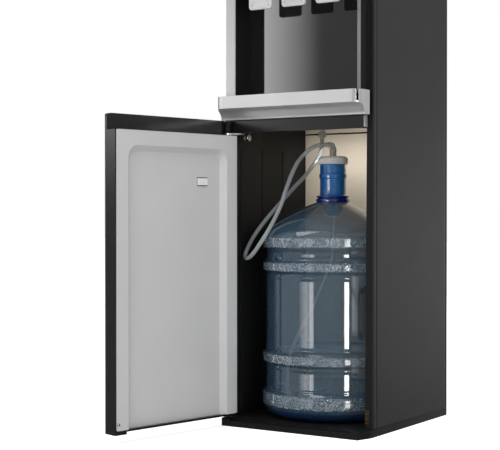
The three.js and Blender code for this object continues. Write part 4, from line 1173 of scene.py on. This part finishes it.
HOSE_RADIUS = 0.004
HOSE_ROUTE = np.array(
    [
        [-60, 55, 547.7],
        [-60, 54.5, 536],
        [-61.5, 50, 521],
        [-66.5, 38, 500],
        [-76.5, 20, 476],
        [-89, -4.5, 450.5],
        [-102, -30, 422.5],
        [-115, -55.5, 394.5],
        [-128, -77, 365.5],
        [-135, -89, 346],
        [-137, -100, 330.5],
        [-134, -112, 319],
        [-125.5, -121, 314],
        [-113.5, -126.2, 316.5],
        [-101, -128.5, 327],
        [-90, -128, 341.5],
        [-81, -122.5, 357.5],
        [-74.5, -108, 380.5],
        [-69, -88, 413],
        [-65.5, -72, 447.5],
        [-60.5, -58, 478],
        [-53, -46.5, 501],
        [-42, -36, 517.5],
        [-29, -27.5, 527.5],
        [-18.5, -21.5, 530.6],
        [-9.8, -14.7, 531],
    ]
) * MM
LOOP_CENTRE = np.array([-0.095, -0.060, 0.420])
# Where the hose's weight towards the bottle reaches one. It shares the ceiling end's y, so only x and z count:
# the hose's last point has the full weight, and the rising run dips below it on the way.
BLEND_END = (-0.0111, 0.055, 0.5278)


@dataclass
class FeedLine:
    """The clear hose, its ceiling stub with a collar, and the hook on the bay's wall."""

    radius: float = HOSE_RADIUS
    steps: int = 9
    stub_radius: float = 0.0055
    collar_radius: float = 0.008
    knob_radius: float = 0.0072

    def build(self) -> None:
        """Makes the hose first, then the pieces at its ends."""
        path = smooth_path(HOSE_ROUTE, self.steps)
        shape = sweep(path, self.radius, LOOP_CENTRE - path, 28)
        hose = new_object("feed_hose_tube", shape)
        hose.data.materials.append(Finish.HOSE.material())
        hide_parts("feed_hose")
        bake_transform(hose, "cabinet", "bottle", start=tuple(HOSE_ROUTE[0]), end=BLEND_END)
        self.make_stub()
        self.make_hook()

    def make_stub(self) -> None:
        """Makes the ceiling fitting: a stem and a ribbed collar."""
        low, high = span("ceiling_hose_fitting")
        centre = ((low[0] + high[0]) / 2, (low[1] + high[1]) / 2)
        r, c, z = self.stub_radius, self.collar_radius, low[2]
        profile = np.array(
            [[0, z], [r, z], [r, z + 0.003], [c, z + 0.003], [c, z + 0.013], [r, z + 0.013], [r, high[2]], [0, high[2]]]
        )
        shape = lathe(rounded(profile, 0.0008, 4, closed=False), centre, segments=48, waves=(12, 0.012))
        add_piece("ceiling_fitting_turned", shape, Finish.FITTING, "cabinet", ("ceiling_hose_fitting",))

    def make_hook(self) -> None:
        """Makes the round knob on its stem."""
        low, high = span("hose_hook")
        centre = ((low[1] + high[1]) / 2, (low[2] + high[2]) / 2)
        x0, x1, r = low[0], high[0], self.knob_radius - 0.0003
        profile = np.array([[0, x0], [0.0045, x0], [0.0045, x0 + 0.0012], [0.002, x0 + 0.0016], [0.002, x1 - 0.006]])
        head = np.array(
            [
                [r - 0.0012, x1 - 0.006],
                [r, x1 - 0.005],
                [r, x1 - 0.0015],
                [r - 0.001, x1 - 0.0004],
                [0, x1],
            ]
        )
        outline = rounded(np.vstack([profile, head]), 0.0006, 4, closed=False)
        add_piece("hose_hook_turned", lathe(outline, centre, Axis.X, 48), Finish.STEEL, "cabinet", ("hose_hook",))


# ---- bottle ----


def ease(value: np.ndarray) -> np.ndarray:
    """A smooth step from 0 to 1: three squares less two cubes of the clipped value."""
    clipped = np.clip(value, 0.0, 1.0)
    return clipped * clipped * (3 - 2 * clipped)


@dataclass
class Bottle:
    """The returnable bottle, its blue neck, the probe cap with its nut and elbow, and the dip tube."""

    radius: float = 0.136
    neck_radius: float = 0.025
    axis_y: float = -0.007
    base: float = BOTTLE_BASE
    panel_depth: float = 0.0016
    panel_count: int = 4
    panel_turn: float = math.radians(-117)
    grip_turn: float = math.radians(-23)
    grip_half: float = math.radians(17)
    grip_low: float = 0.160
    grip_high: float = 0.268
    grip_depth: float = 0.030
    segments: int = 180
    step: float = 0.0022
    elbow_height: float = 0.531
    outlet: tuple[float, float] = (-0.785, -0.62)
    smooth_bands: tuple[tuple[float, float], ...] = ((0.145, 0.280), (0.068, 0.111))

    def profile(self) -> np.ndarray:
        """The body's outline from the middle of its base up to the neck ring, as radius and height."""
        z = self.base
        base = [[0, 10], [60, 9], [88, 6], [108, 0.4], [119, 2], [129, 9], [134, 18], [135.8, 27], [135.8, 47]]
        ribs = [[129, 53], [131, 57], [131, 97], [129, 100], [135.8, 105], [135.8, 121], [129, 126], [131, 130]]
        waist = [[131, 268], [129, 272], [135.8, 278], [135.8, 293], [128, 299], [127, 303], [127, 313], [135.8, 322]]
        ribs += waist
        waist = [[135.8, 340]]
        corners = np.array(base + ribs + waist, float) * MM + [0, z]
        body = rounded(corners, 0.0022, 5, closed=False)
        t = np.linspace(0, 1, 30)[1:, None]
        start, pull, end = np.array([[0.136, 0.341], [0.128, 0.368], [0.031, 0.408]]) + [0, z]
        shoulder = (1 - t) ** 2 * start + 2 * t * (1 - t) * pull + t**2 * end
        return np.vstack([body, shoulder])

    def body_shape(self) -> Shape:
        """The body as a surface of angle and height.

        The radius is the turned profile's, less a panel depth between the ribs that fades out beside
        four upright posts, less a hand grip that is one smooth hollow in angle and height.

        Returns:
            The outer surface, open at the neck.
        """
        raw = self.profile()
        along = np.concatenate([[0], np.cumsum(np.linalg.norm(np.diff(raw, axis=0), axis=1))])
        keep = np.concatenate([[True], np.diff(along) > 1e-9])
        even = np.linspace(0, along[-1], int(along[-1] / self.step))
        radius = np.interp(even, along[keep], raw[keep, 0])[:, None]
        height = np.interp(even, along[keep], raw[keep, 1])[:, None]
        angle = np.linspace(-math.pi, math.pi, self.segments, endpoint=False)[None]
        post = np.abs(((angle - self.panel_turn) * self.panel_count / (2 * math.pi) + 0.5) % 1 - 0.5)
        sector = ease((post - 0.03) / 0.02)
        panel = np.zeros_like(radius * angle)
        for low, high in self.smooth_bands:
            inside = ease((height - low) / 0.006) * ease((high - height) / 0.006)
            panel = np.maximum(panel, inside * sector)
        off = (angle - self.grip_turn + math.pi) % (2 * math.pi) - math.pi
        across = ease((self.grip_half - np.abs(off)) / math.radians(9))
        upright = ease((height - self.grip_low) / 0.022) * ease((self.grip_high - height) / 0.022)
        reach = radius - self.panel_depth * panel - self.grip_depth * across * upright
        grid = Axis.Z.place(reach * np.cos(angle), self.axis_y + reach * np.sin(angle), height)
        grid[0, :, :2] = [0.0, self.axis_y]
        return surface(grid, caps=False)

    def make_body(self) -> None:
        """Makes the body's skin and stands it in for the node."""
        piece = new_object("bottle_body", self.body_shape())
        settle(piece, Finish.BOTTLE, "bottle", ("water_bottle",))

    def make_grip(self) -> None:
        """Makes the upright bar that bridges the hand hollow."""
        reach = self.radius - 0.0115
        t = np.linspace(0, 1, 40)[:, None]
        middle = (self.grip_low + self.grip_high) / 2
        half = (self.grip_high - self.grip_low) / 2 - 0.004
        height = middle + half * (2 * t - 1)
        inset = 0.016 * np.abs(2 * t - 1) ** 6
        path = np.hstack(
            [
                (reach - inset) * math.cos(self.grip_turn),
                self.axis_y + (reach - inset) * math.sin(self.grip_turn),
                height,
            ]
        )
        side = np.array([-math.sin(self.grip_turn), math.cos(self.grip_turn), 0.0])
        add_piece("bottle_grip", sweep(path, 0.0085, side, 20), Finish.NECK, "bottle")

    def make_neck(self) -> None:
        """Makes the neck with its foot ring and two thread bands, as one hollow ring."""
        z, n = self.base, self.neck_radius
        outer = [[31.5, 407], [32.4, 409], [32.4, 413], [29, 415], [32, 417.5], [32, 419.4], [26, 420.5], [25, 423]]
        neck = [[25, 452], [26.6, 453.5], [26.6, 461], [25, 462.5], [25, 480]]
        inner = [[23, 480], [23, 423], [27, 414], [28.8, 407]]
        loop = np.array(outer + neck + inner, float) * [n / 0.025, 1] * MM + [0, z]
        shape = lathe(rounded(loop, 0.0008, 4), (0.0, self.axis_y), segments=96, ring=True)
        add_piece("bottle_neck_ring", shape, Finish.NECK, "bottle")

    def make_cap(self) -> None:
        """Makes the probe cap: a ribbed skirt under a smooth lid, with its pull tab."""
        low, high = span("probe_cap")
        z0, z1 = low[2], high[2]
        r, bore = 0.0288, 0.0045
        skirt = np.array([[bore, z0], [r - 0.001, z0], [r - 0.0006, z0 + 0.0075], [bore, z0 + 0.0075]])
        ribs = lathe(rounded(skirt, 0.0004, 3), (0.0, self.axis_y), segments=288, ring=True, waves=(72, 0.009))
        lid = np.array([[bore, z0 + 0.0072], [r, z0 + 0.0072], [r, z0 + 0.0108], [r - 0.004, z1], [bore, z1]])
        lid_shape = lathe(rounded(lid, 0.0012, 5), (0.0, self.axis_y), segments=96, ring=True)
        tab = box((low[0], -r + 0.004), (self.axis_y - 0.006, self.axis_y + 0.006), (z0, z0 + 0.005), 0.0012)
        add_piece("probe_cap_turned", ribs + lid_shape + tab, Finish.WHITE, "bottle", ("probe_cap",))

    def make_elbow(self) -> None:
        """Makes the hexagon nut, its round collar and the bent outlet with a clip ring."""
        z, y = span("elbow_fitting")[0][2], self.axis_y
        way = np.array([*self.outlet, 0.0]) / math.hypot(*self.outlet)
        top = self.elbow_height
        nut = prism(hexagon(0.0, y, 0.0075), z, z + 0.0085, Axis.Z, 0.0009)
        collar = np.array(
            [
                [0, z + 0.008],
                [0.0068, z + 0.008],
                [0.0068, z + 0.013],
                [0.0054, z + 0.017],
                [0, z + 0.017],
            ]
        )
        round_part = lathe(rounded(collar, 0.0008, 4, closed=False), (0.0, y), segments=48)
        centre = np.array([0.0, y, 0.0])
        stations = np.array(
            [
                centre + [0, 0, z + 0.014],
                centre + [0, 0, top - 0.005],
                centre + way * 0.0015 + [0, 0, top - 0.0013],
                centre + way * 0.005 + [0, 0, top],
                centre + way * 0.0118 + [0, 0, top],
            ]
        )
        path = smooth_path(stations, 8)
        girth = 0.0048 + 0.0008 * (np.linspace(0, 1, len(path)) > 0.86)
        normal = np.cross(way, [0, 0, 1])
        shape = nut + round_part + sweep(path, girth, normal, 32)
        add_piece("elbow_turned", shape, Finish.FITTING, "bottle", ("elbow_fitting",))

    def make_dip_tube(self) -> None:
        """Makes the dip tube and the weighted strainer at its foot."""
        heights = np.array([507, 438, 330, 285, 219, 150, 110, 70, 36]) * MM
        sides = np.array([0, 0, 0, -12.4, -45.3, -83.9, -99.9, -103, -103]) * MM
        stations = np.stack([sides, np.full_like(sides, self.axis_y), heights], axis=1)
        path = smooth_path(stations, 10)
        tube = sweep(path, 0.0038, np.array([0.0, 1.0, 0.0]), 20)
        foot = np.array([[0, 0.0335], [0.006, 0.0335], [0.007, 0.036], [0.007, 0.048], [0.004, 0.052], [0, 0.052]])
        strainer = lathe(rounded(foot, 0.001, 4, closed=False), (-0.103, self.axis_y), segments=32, waves=(12, 0.03))
        add_piece("dip_tube_swept", tube + strainer, Finish.TUBE, "bottle", ("dip_tube",))

    def build(self) -> None:
        """Makes every piece of the bottle."""
        self.make_body()
        self.make_grip()
        self.make_neck()
        self.make_cap()
        self.make_elbow()
        self.make_dip_tube()


# ---- cabinet ----


@dataclass
class Cabinet:
    """The plinth, the walls, the bay and the front frame."""

    half: float = 0.155
    front: float = -0.175
    sheet: float = 0.002
    bead_at: float = 0.0075
    bead_width: float = 0.0055
    bead_depth: float = 0.0012

    def build(self) -> None:
        """Makes every cabinet piece."""
        softened("base_plinth", Finish.BLACK_SATIN, 0.0012, 3)
        for corner in ("front_left", "front_right", "rear_left", "rear_right"):
            self.make_foot("levelling_foot_" + corner)
        for side, sign in (("left", -1.0), ("right", 1.0)):
            self.make_side(side, sign)
            softened("bay_liner_" + side, Finish.BLACK_BAY, 0.0006)
            softened("door_jamb_" + side, Finish.BLACK_SATIN, 0.0008)
        softened("rear_panel", Finish.BLACK_SHEET, 0.0004, 2)
        softened("bay_back_wall", Finish.BEIGE, 0.0008)
        softened("bay_ceiling", Finish.BEIGE, 0.0008)
        softened("top_cover", Finish.BLACK_SATIN, 0.0012)
        softened("header_panel", Finish.BLACK_GLOSS, 0.0007)
        self.make_header_end_highlight()
        self.make_bay_details()
        self.make_catch()
        self.make_hinges()

    def make_foot(self, node: str) -> None:
        """Makes a levelling foot: a fluted pad with a softened sole."""
        low, high = span(node)
        centre = ((low[0] + high[0]) / 2, (low[1] + high[1]) / 2)
        r = (high[0] - low[0]) / 2 - 0.0003
        profile = np.array([[0, low[2]], [r - 0.001, low[2]], [r, low[2] + 0.001], [r, high[2]], [0, high[2]]])
        shape = lathe(rounded(profile, 0.0005, 3, closed=False), centre, segments=120, waves=(30, 0.008))
        add_piece(node + "_pad", shape, Finish.RUBBER, "cabinet", (node,))

    def make_side(self, side: str, sign: float) -> None:
        """Makes a side panel whose front edge is folded and carries a shallow upright bead.

        Args:
            side: left or right.
            sign: -1 for left and 1 for right.
        """
        low, high = span("side_panel_" + side)
        outer = self.half
        y0, y1 = low[1], high[1]
        depth = np.linspace(y0, y1, 260)
        offset = (depth - y0 - self.bead_at) / self.bead_width
        rear = (y1 - depth - self.bead_at) / self.bead_width
        bead = self.bead_depth * (np.exp(-4 * offset**2) + 0.6 * np.exp(-4 * rear**2))
        fold = 0.0009 * np.exp(-((depth - y0) / 0.0012))
        outside = np.stack([sign * (outer - bead - fold), depth], axis=1)
        inside = np.stack([sign * (outer - self.sheet - 0.3 * bead), depth], axis=1)
        plan = np.vstack([outside, inside[::-1]])
        shape = prism(plan if sign < 0 else plan[::-1], low[2], high[2], Axis.Z, 0.0003)
        add_piece("side_panel_%s_folded" % side, shape, Finish.BLACK_SHEET, "cabinet", ("side_panel_" + side,))

    def make_header_end_highlight(self) -> None:
        """Makes the bright strip at the header's free end, a painted highlight for the gleam on the glossy header's
        rounded end.
        """
        low, high = span("header_panel")
        # painted highlight: a pale strip where the glossy header's rounded end catches the light
        strip = box(
            (high[0] + 0.0002, high[0] + 0.0020),
            (low[1] + 0.0005, low[1] + 0.0125),
            (low[2] + 0.002, high[2] - 0.0008),
        )
        add_piece("header_end_highlight_strip", strip, Finish.CHROME)

    def make_bay_details(self) -> None:
        """Makes the upright ribs and the cover plate on the bay's side walls."""
        for side, sign in (("left", -1.0), ("right", 1.0)):
            low, high = span("bay_liner_" + side)
            face = high[0] if sign < 0 else low[0]
            inner = face - sign * 0.0008
            xs = tuple(sorted((face, inner)))
            for index, back in enumerate((0.062, 0.138, 0.214)):
                y = self.front + back
                rib = box(xs, (y, y + 0.003), (low[2] + 0.01, high[2] - 0.06), 0.0003)
                add_piece("bay_rib_%s_%d" % (side, index), rib, Finish.BLACK_BAY)
            plate_x = tuple(sorted((face, face - sign * 0.0012)))
            plate = prism(
                rectangle((self.front + 0.085, self.front + 0.135), (0.536, 0.560), 0.003),
                plate_x[0],
                plate_x[1],
                Axis.X,
                0.0004,
            )
            add_piece("bay_plate_" + side, plate, Finish.BLACK_SATIN)

    def make_catch(self) -> None:
        """Makes the brass catch with its two balls."""
        softened("ball_catch_case", Finish.BRASS_DARK, 0.0004)
        for name, body in (("catch_ball_lower", "lower_ball"), ("catch_ball_upper", "upper_ball")):
            low, high = span(name)
            middle, r = (low + high) / 2, (high[0] - low[0]) / 2
            bow = np.linspace(-math.pi / 2, math.pi / 2, 17)
            profile = np.stack([r * np.cos(bow), middle[2] + r * np.sin(bow)], axis=1)
            ball = lathe(profile, (middle[0], middle[1]), segments=28)
            add_piece(name + "_round", ball, Finish.BRASS, body, (name,))

    def make_hinges(self) -> None:
        """Makes the hinge bracket and the two pins."""
        softened("hinge_bracket", Finish.STEEL, 0.0005)
        for name in ("hinge_pin_lower", "hinge_pin_upper"):
            low, high = span(name)
            centre = ((low[0] + high[0]) / 2, (low[1] + high[1]) / 2)
            r = (high[0] - low[0]) / 2
            profile = np.array([[0, low[2]], [r, low[2]], [r, high[2]], [0, high[2]]])
            pin = lathe(rounded(profile, 0.0006, 4, closed=False), centre, segments=32)
            add_piece(name + "_round", pin, Finish.STEEL, frame["nodes"][name]["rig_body"], (name,))


@dataclass
class Door:
    """The gloss door with its pressed liner, magnet and catch strike."""

    angle: float = math.radians(-101.3)
    pin: tuple[float, float] = (-0.1415, -0.161)

    def swung(self, shape: Shape) -> Shape:
        """Turns a shape made for the shut door about the hinge pin to where the door stands."""
        cos, sin = math.cos(self.angle), math.sin(self.angle)
        flat = shape.vertices[:, :2] - self.pin
        turned = flat @ np.array([[cos, sin], [-sin, cos]]) + self.pin
        return Shape(np.hstack([turned, shape.vertices[:, 2:]]), shape.faces)

    def build(self) -> None:
        """Makes every door piece."""
        softened("door_shell", Finish.BLACK_GLOSS, 0.0009)
        softened("door_liner", Finish.LINER, 0.0014, 4)
        softened("door_sensor_magnet", Finish.WHITE, 0.0006)
        softened("catch_strike", Finish.STEEL, 0.0003, 2)
        # painted shade: a thin dark sheet behind the magnet gives it its dark edge
        shade_sheet = prism(rectangle((-0.0785, -0.0515), (0.4490, 0.4650), 0.001), -0.14878, -0.14862, Axis.Y, 0.00005)
        add_piece("magnet_shade_sheet", self.swung(shade_sheet), Finish.BLACK_SATIN, "door")
        cover = np.array([[0.0, 0.5502], [0.0046, 0.5502], [0.0046, 0.5728], [0.0, 0.5728]])
        knuckle = lathe(rounded(cover, 0.0006, 4, closed=False), self.pin, segments=40)
        add_piece("hinge_knuckle", knuckle, Finish.BLACK_SATIN)
        # painted shade: a thin dark loop where the gap between the shell and the liner shows dark
        gap_shade_loop = self.gap_shade_loop()
        add_piece("door_gap_shade", self.swung(gap_shade_loop), Finish.BLACK_SATIN, "door")

    def gap_shade_loop(self) -> Shape:
        """The thin dark edging between the shell and the liner, as a loop round the liner: painted shade for the gap
        between them.
        """
        outline = rectangle((-0.1457, 0.1457), (0.0241, 0.5442), 0.003)
        path = np.stack([outline[:, 0], np.full(len(outline), -0.1408), outline[:, 1]], axis=1)
        keep = np.linalg.norm(path - np.roll(path, 1, axis=0), axis=1) > 1e-7
        return sweep(path[keep], 0.0007, np.array([0.0, 1.0, 0.0]), 10, closed=True)


# ---- tray, alcove and head ----


@dataclass
class Dispensing:
    """The drip tray, the alcove, the taps and the control head."""

    front: float = -0.175
    lens_z: float = 0.930

    def build(self) -> None:
        """Makes every piece of the dispensing part."""
        softened("drip_tray_shell", Finish.SILVER, 0.0004, 2, curved=True)
        softened("drip_cup", Finish.BLACK_SATIN, 0.0006)
        softened("drip_grille", Finish.STEEL, 0.0005)
        for side in ("left", "right"):
            softened("alcove_cheek_" + side, Finish.BLACK_SATIN, 0.0007)
            softened("alcove_trim_" + side, Finish.CHROME, 0.0004)
        softened("alcove_back_panel", Finish.BLACK_MIRROR, 0.0006)
        softened("control_head", Finish.BLACK_GLOSS, 0.0010)
        softened("child_lock_button", Finish.SILVER, 0.0005)
        self.make_head_details()
        for side, x in (("left", -0.072), ("middle", 0.0), ("right", 0.072)):
            self.make_paddle(side, x)
            self.make_nozzle(side, x)
        low, high = span("paddle_shaft")
        centre = ((low[1] + high[1]) / 2, (low[2] + high[2]) / 2)
        corners = np.array([[0, low[0]], [0.002, low[0]], [0.002, high[0]], [0, high[0]]])
        profile = rounded(corners, 0.0005, 4, closed=False)
        add_piece("paddle_shaft_round", lathe(profile, centre, Axis.X, 24), Finish.STEEL, "cabinet", ("paddle_shaft",))

    def make_head_details(self) -> None:
        """Makes the indicator window with three lamps, the seam above the taps and a ring round the button."""
        y = self.front + 0.0122
        outline = rectangle((-0.050, 0.050), (self.lens_z - 0.014, self.lens_z + 0.014), 0.008)
        window = prism(outline, y - 0.0009, y - 0.0001, Axis.Y, 0.0004)
        add_piece("indicator_window", window, Finish.BLACK_SATIN)
        lamps = (("hot", -0.028, Finish.RED), ("ready", 0.0, Finish.WHITE), ("cold", 0.028, Finish.GREEN))
        for name, x, finish in lamps:
            bow = np.linspace(0, math.pi / 2, 7)
            profile = np.stack([0.003 * np.cos(bow), y - 0.0008 - 0.0011 * np.sin(bow)], axis=1)
            profile = np.vstack([[[0.0, y - 0.0006]], [[0.003, y - 0.0006]], profile])
            add_piece("indicator_" + name, lathe(profile, (x, self.lens_z), Axis.Y, 32), finish)
        ring = np.array([[0.0086, y - 0.0009], [0.0108, y - 0.0009], [0.0108, y - 0.0001], [0.0086, y - 0.0001]])
        bezel = lathe(rounded(ring, 0.0003, 3), (0.072, self.lens_z), Axis.Y, 64, ring=True)
        add_piece("lock_button_ring", bezel, Finish.CHROME)
        seam = box((-0.138, 0.138), (y - 0.0006, y + 0.0001), (0.886, 0.8885), 0.0002)
        add_piece("head_seam", seam, Finish.CHROME)

    def make_paddle(self, side: str, x: float) -> None:
        """Makes a lever: a milky blade with a raised rim, a ribbed left strip and two screws.

        Args:
            side: the tap's name.
            x: the tap's place.
        """
        node, body = "tap_paddle_" + side, "paddle_" + side
        softened(node, Finish.PADDLE, 0.0010, 4)
        low = span(node)[0]
        y = self.front + 0.020
        ribs = rows_of(
            box((x - 0.0215, x - 0.0125), (y - 0.0007, y + 0.0002), (low[2] + 0.008, low[2] + 0.0092), 0.0002),
            np.stack([np.zeros(22), np.zeros(22), np.arange(22) * 0.003], axis=1),
        )
        add_piece("paddle_ribs_" + side, ribs, Finish.PADDLE, body)
        heads = [
            lathe(
                np.array(
                    [
                        [0, y - 0.0008],
                        [0.0016, y - 0.0008],
                        [0.0021, y - 0.0003],
                        [0.0021, y + 0.0002],
                        [0, y + 0.0002],
                    ]
                ),
                (x + shift, low[2] + 0.0085),
                Axis.Y,
                24,
            )
            for shift in (-0.019, 0.019)
        ]
        add_piece("paddle_screws_" + side, heads[0] + heads[1], Finish.STEEL, body)

    def make_nozzle(self, side: str, x: float) -> None:
        """Makes a tap's spout as a turned ring with a flared lip."""
        node = "tap_nozzle_" + side
        low, high = span(node)
        y = (low[1] + high[1]) / 2
        z0, z1 = low[2], high[2]
        loop = np.array(
            [
                [0.0036, z0],
                [0.006, z0],
                [0.0064, z0 + 0.002],
                [0.0062, z0 + 0.005],
                [0.0089, z0 + 0.013],
                [0.0089, z1],
                [0.0036, z1],
            ]
        )
        shape = lathe(rounded(loop, 0.0007, 4), (x, y), segments=48, ring=True)
        add_piece(node + "_turned", shape, Finish.STEEL, "cabinet", (node,))


# ---- works and back ----


@dataclass
class Works:
    """The tanks, the pump and the compressor inside, and what is fitted to the back."""

    coil_runs: int = 11
    coil_pitch: float = 0.027
    coil_bottom: float = 0.690
    coil_half: float = 0.118
    wire_count: int = 34

    def build(self) -> None:
        """Makes every inner and rear piece."""
        softened("compressor", Finish.ENAMEL, 0.002)
        softened("cold_tank", Finish.FOAM, 0.003)
        softened("hot_tank", Finish.HOT_METAL, 0.002)
        softened("feed_pump", Finish.BLACK_SATIN, 0.001)
        softened("power_inlet", Finish.BLACK_SATIN, 0.0006)
        softened("drain_plug", Finish.BLACK_SATIN, 0.0010)
        softened("hot_switch", Finish.RED, 0.0007)
        softened("cold_switch", Finish.GREEN, 0.0007)
        self.make_coil()
        self.make_back_details()

    def make_coil(self) -> None:
        """Makes the condenser: one tube folded up the back, upright wires on both sides and two straps.

        The tube's centre line is a straight run, then half a circle of half a pitch at alternate ends.
        """
        low, high = span("condenser_coil")
        y = high[1] - 0.003
        r = self.coil_pitch / 2
        end = self.coil_half - r
        turn = np.linspace(-math.pi / 2, math.pi / 2, 13)
        stations = []
        for run in range(self.coil_runs):
            z = self.coil_bottom + run * self.coil_pitch
            sign = 1.0 if run % 2 == 0 else -1.0
            straight = np.linspace(-sign * end, sign * end, 12)[1:-1]
            stations.append(np.stack([straight, np.full(10, y), np.full(10, z)], axis=1))
            if run < self.coil_runs - 1:
                bend = np.stack([sign * (end + r * np.cos(turn)), np.full(13, y), z + r + r * np.sin(turn)], axis=1)
                stations.append(bend)
        tube = sweep(np.vstack(stations), 0.0028, np.array([0.0, 1.0, 0.0]), 14)
        top = self.coil_bottom + (self.coil_runs - 1) * self.coil_pitch
        wire = lathe(
            np.array(
                [
                    [0.0, self.coil_bottom - 0.008],
                    [0.0008, self.coil_bottom - 0.008],
                    [0.0008, top + 0.008],
                    [0.0, top + 0.008],
                ]
            ),
            (0.0, 0.0),
            segments=6,
        )
        xs = np.linspace(-end, end, self.wire_count)
        wires = rows_of(wire, np.stack([xs, np.full_like(xs, y - 0.0031), np.zeros_like(xs)], axis=1))
        straps = Shape(np.zeros((0, 3)), [])
        for x in (-self.coil_half / 2, self.coil_half / 2):
            straps = straps + box((x - 0.008, x + 0.008), (low[1], y), (low[2] + 0.0002, high[2] - 0.0002), 0.0006)
        add_piece("condenser_tube", tube + straps, Finish.ENAMEL, "cabinet", ("condenser_coil",))
        add_piece("condenser_wires", wires, Finish.ENAMEL)

    def make_back_details(self) -> None:
        """Makes the inlet's pins, the switch surround, the rear louvres and the panel screws."""
        low, high = span("power_inlet")
        x, z = (low[0] + high[0]) / 2, (low[2] + high[2]) / 2
        pin = box((-0.0009, 0.0009), (low[1] + 0.0024, high[1] - 0.004), (-0.0022, 0.0022), 0.0003)
        pins = rows_of(pin, np.array([[x - 0.007, 0, z - 0.002], [x, 0, z + 0.002], [x + 0.007, 0, z - 0.002]]))
        add_piece("inlet_pins", pins, Finish.BRASS)
        panel = span("rear_panel")[1][1]
        left, right = span("hot_switch"), span("cold_switch")
        outer = rectangle((left[0][0] - 0.005, right[1][0] + 0.005), (left[0][2] - 0.005, left[1][2] + 0.005), 0.003)
        rim = np.stack([outer[:, 0], np.full(len(outer), panel + 0.0012), outer[:, 1]], axis=1)
        add_piece("switch_surround", sweep(rim, 0.0011, np.array([0.0, 1.0, 0.0]), 10, closed=True), Finish.BLACK_SATIN)
        slats = rows_of(
            box((-0.055, 0.055), (panel, panel + 0.0022), (0.0, 0.004), 0.0009),
            np.stack([np.zeros(8), np.zeros(8), 0.44 + np.arange(8) * 0.011], axis=1),
        )
        add_piece("rear_louvres", slats, Finish.BLACK_SHEET)
        head = lathe(
            np.array(
                [
                    [0.0, panel],
                    [0.0034, panel],
                    [0.0034, panel + 0.0008],
                    [0.0018, panel + 0.0019],
                    [0.0, panel + 0.002],
                ]
            ),
            (0.0, 0.0),
            Axis.Y,
            20,
        )
        places = np.array([[sx * 0.143, 0.0, sz] for sx in (-1, 1) for sz in (0.035, 0.28, 0.52, 0.76, 1.005)])
        add_piece("rear_screws", rows_of(head, places), Finish.STEEL)


def main() -> None:
    """Builds the dispenser from the camera and the cord to the works."""
    logging.basicConfig(level=logging.INFO, format="%(name)s %(message)s")
    bpy.context.scene.view_settings.view_transform = "Standard"
    studio = Studio()
    studio.make_camera()
    FeedLine().build()
    Bottle().build()
    Cabinet().build()
    Door().build()
    Dispensing().build()
    Works().build()
    studio.build()
    LOG.info("sizes written")


if __name__ == "__main__":
    main()
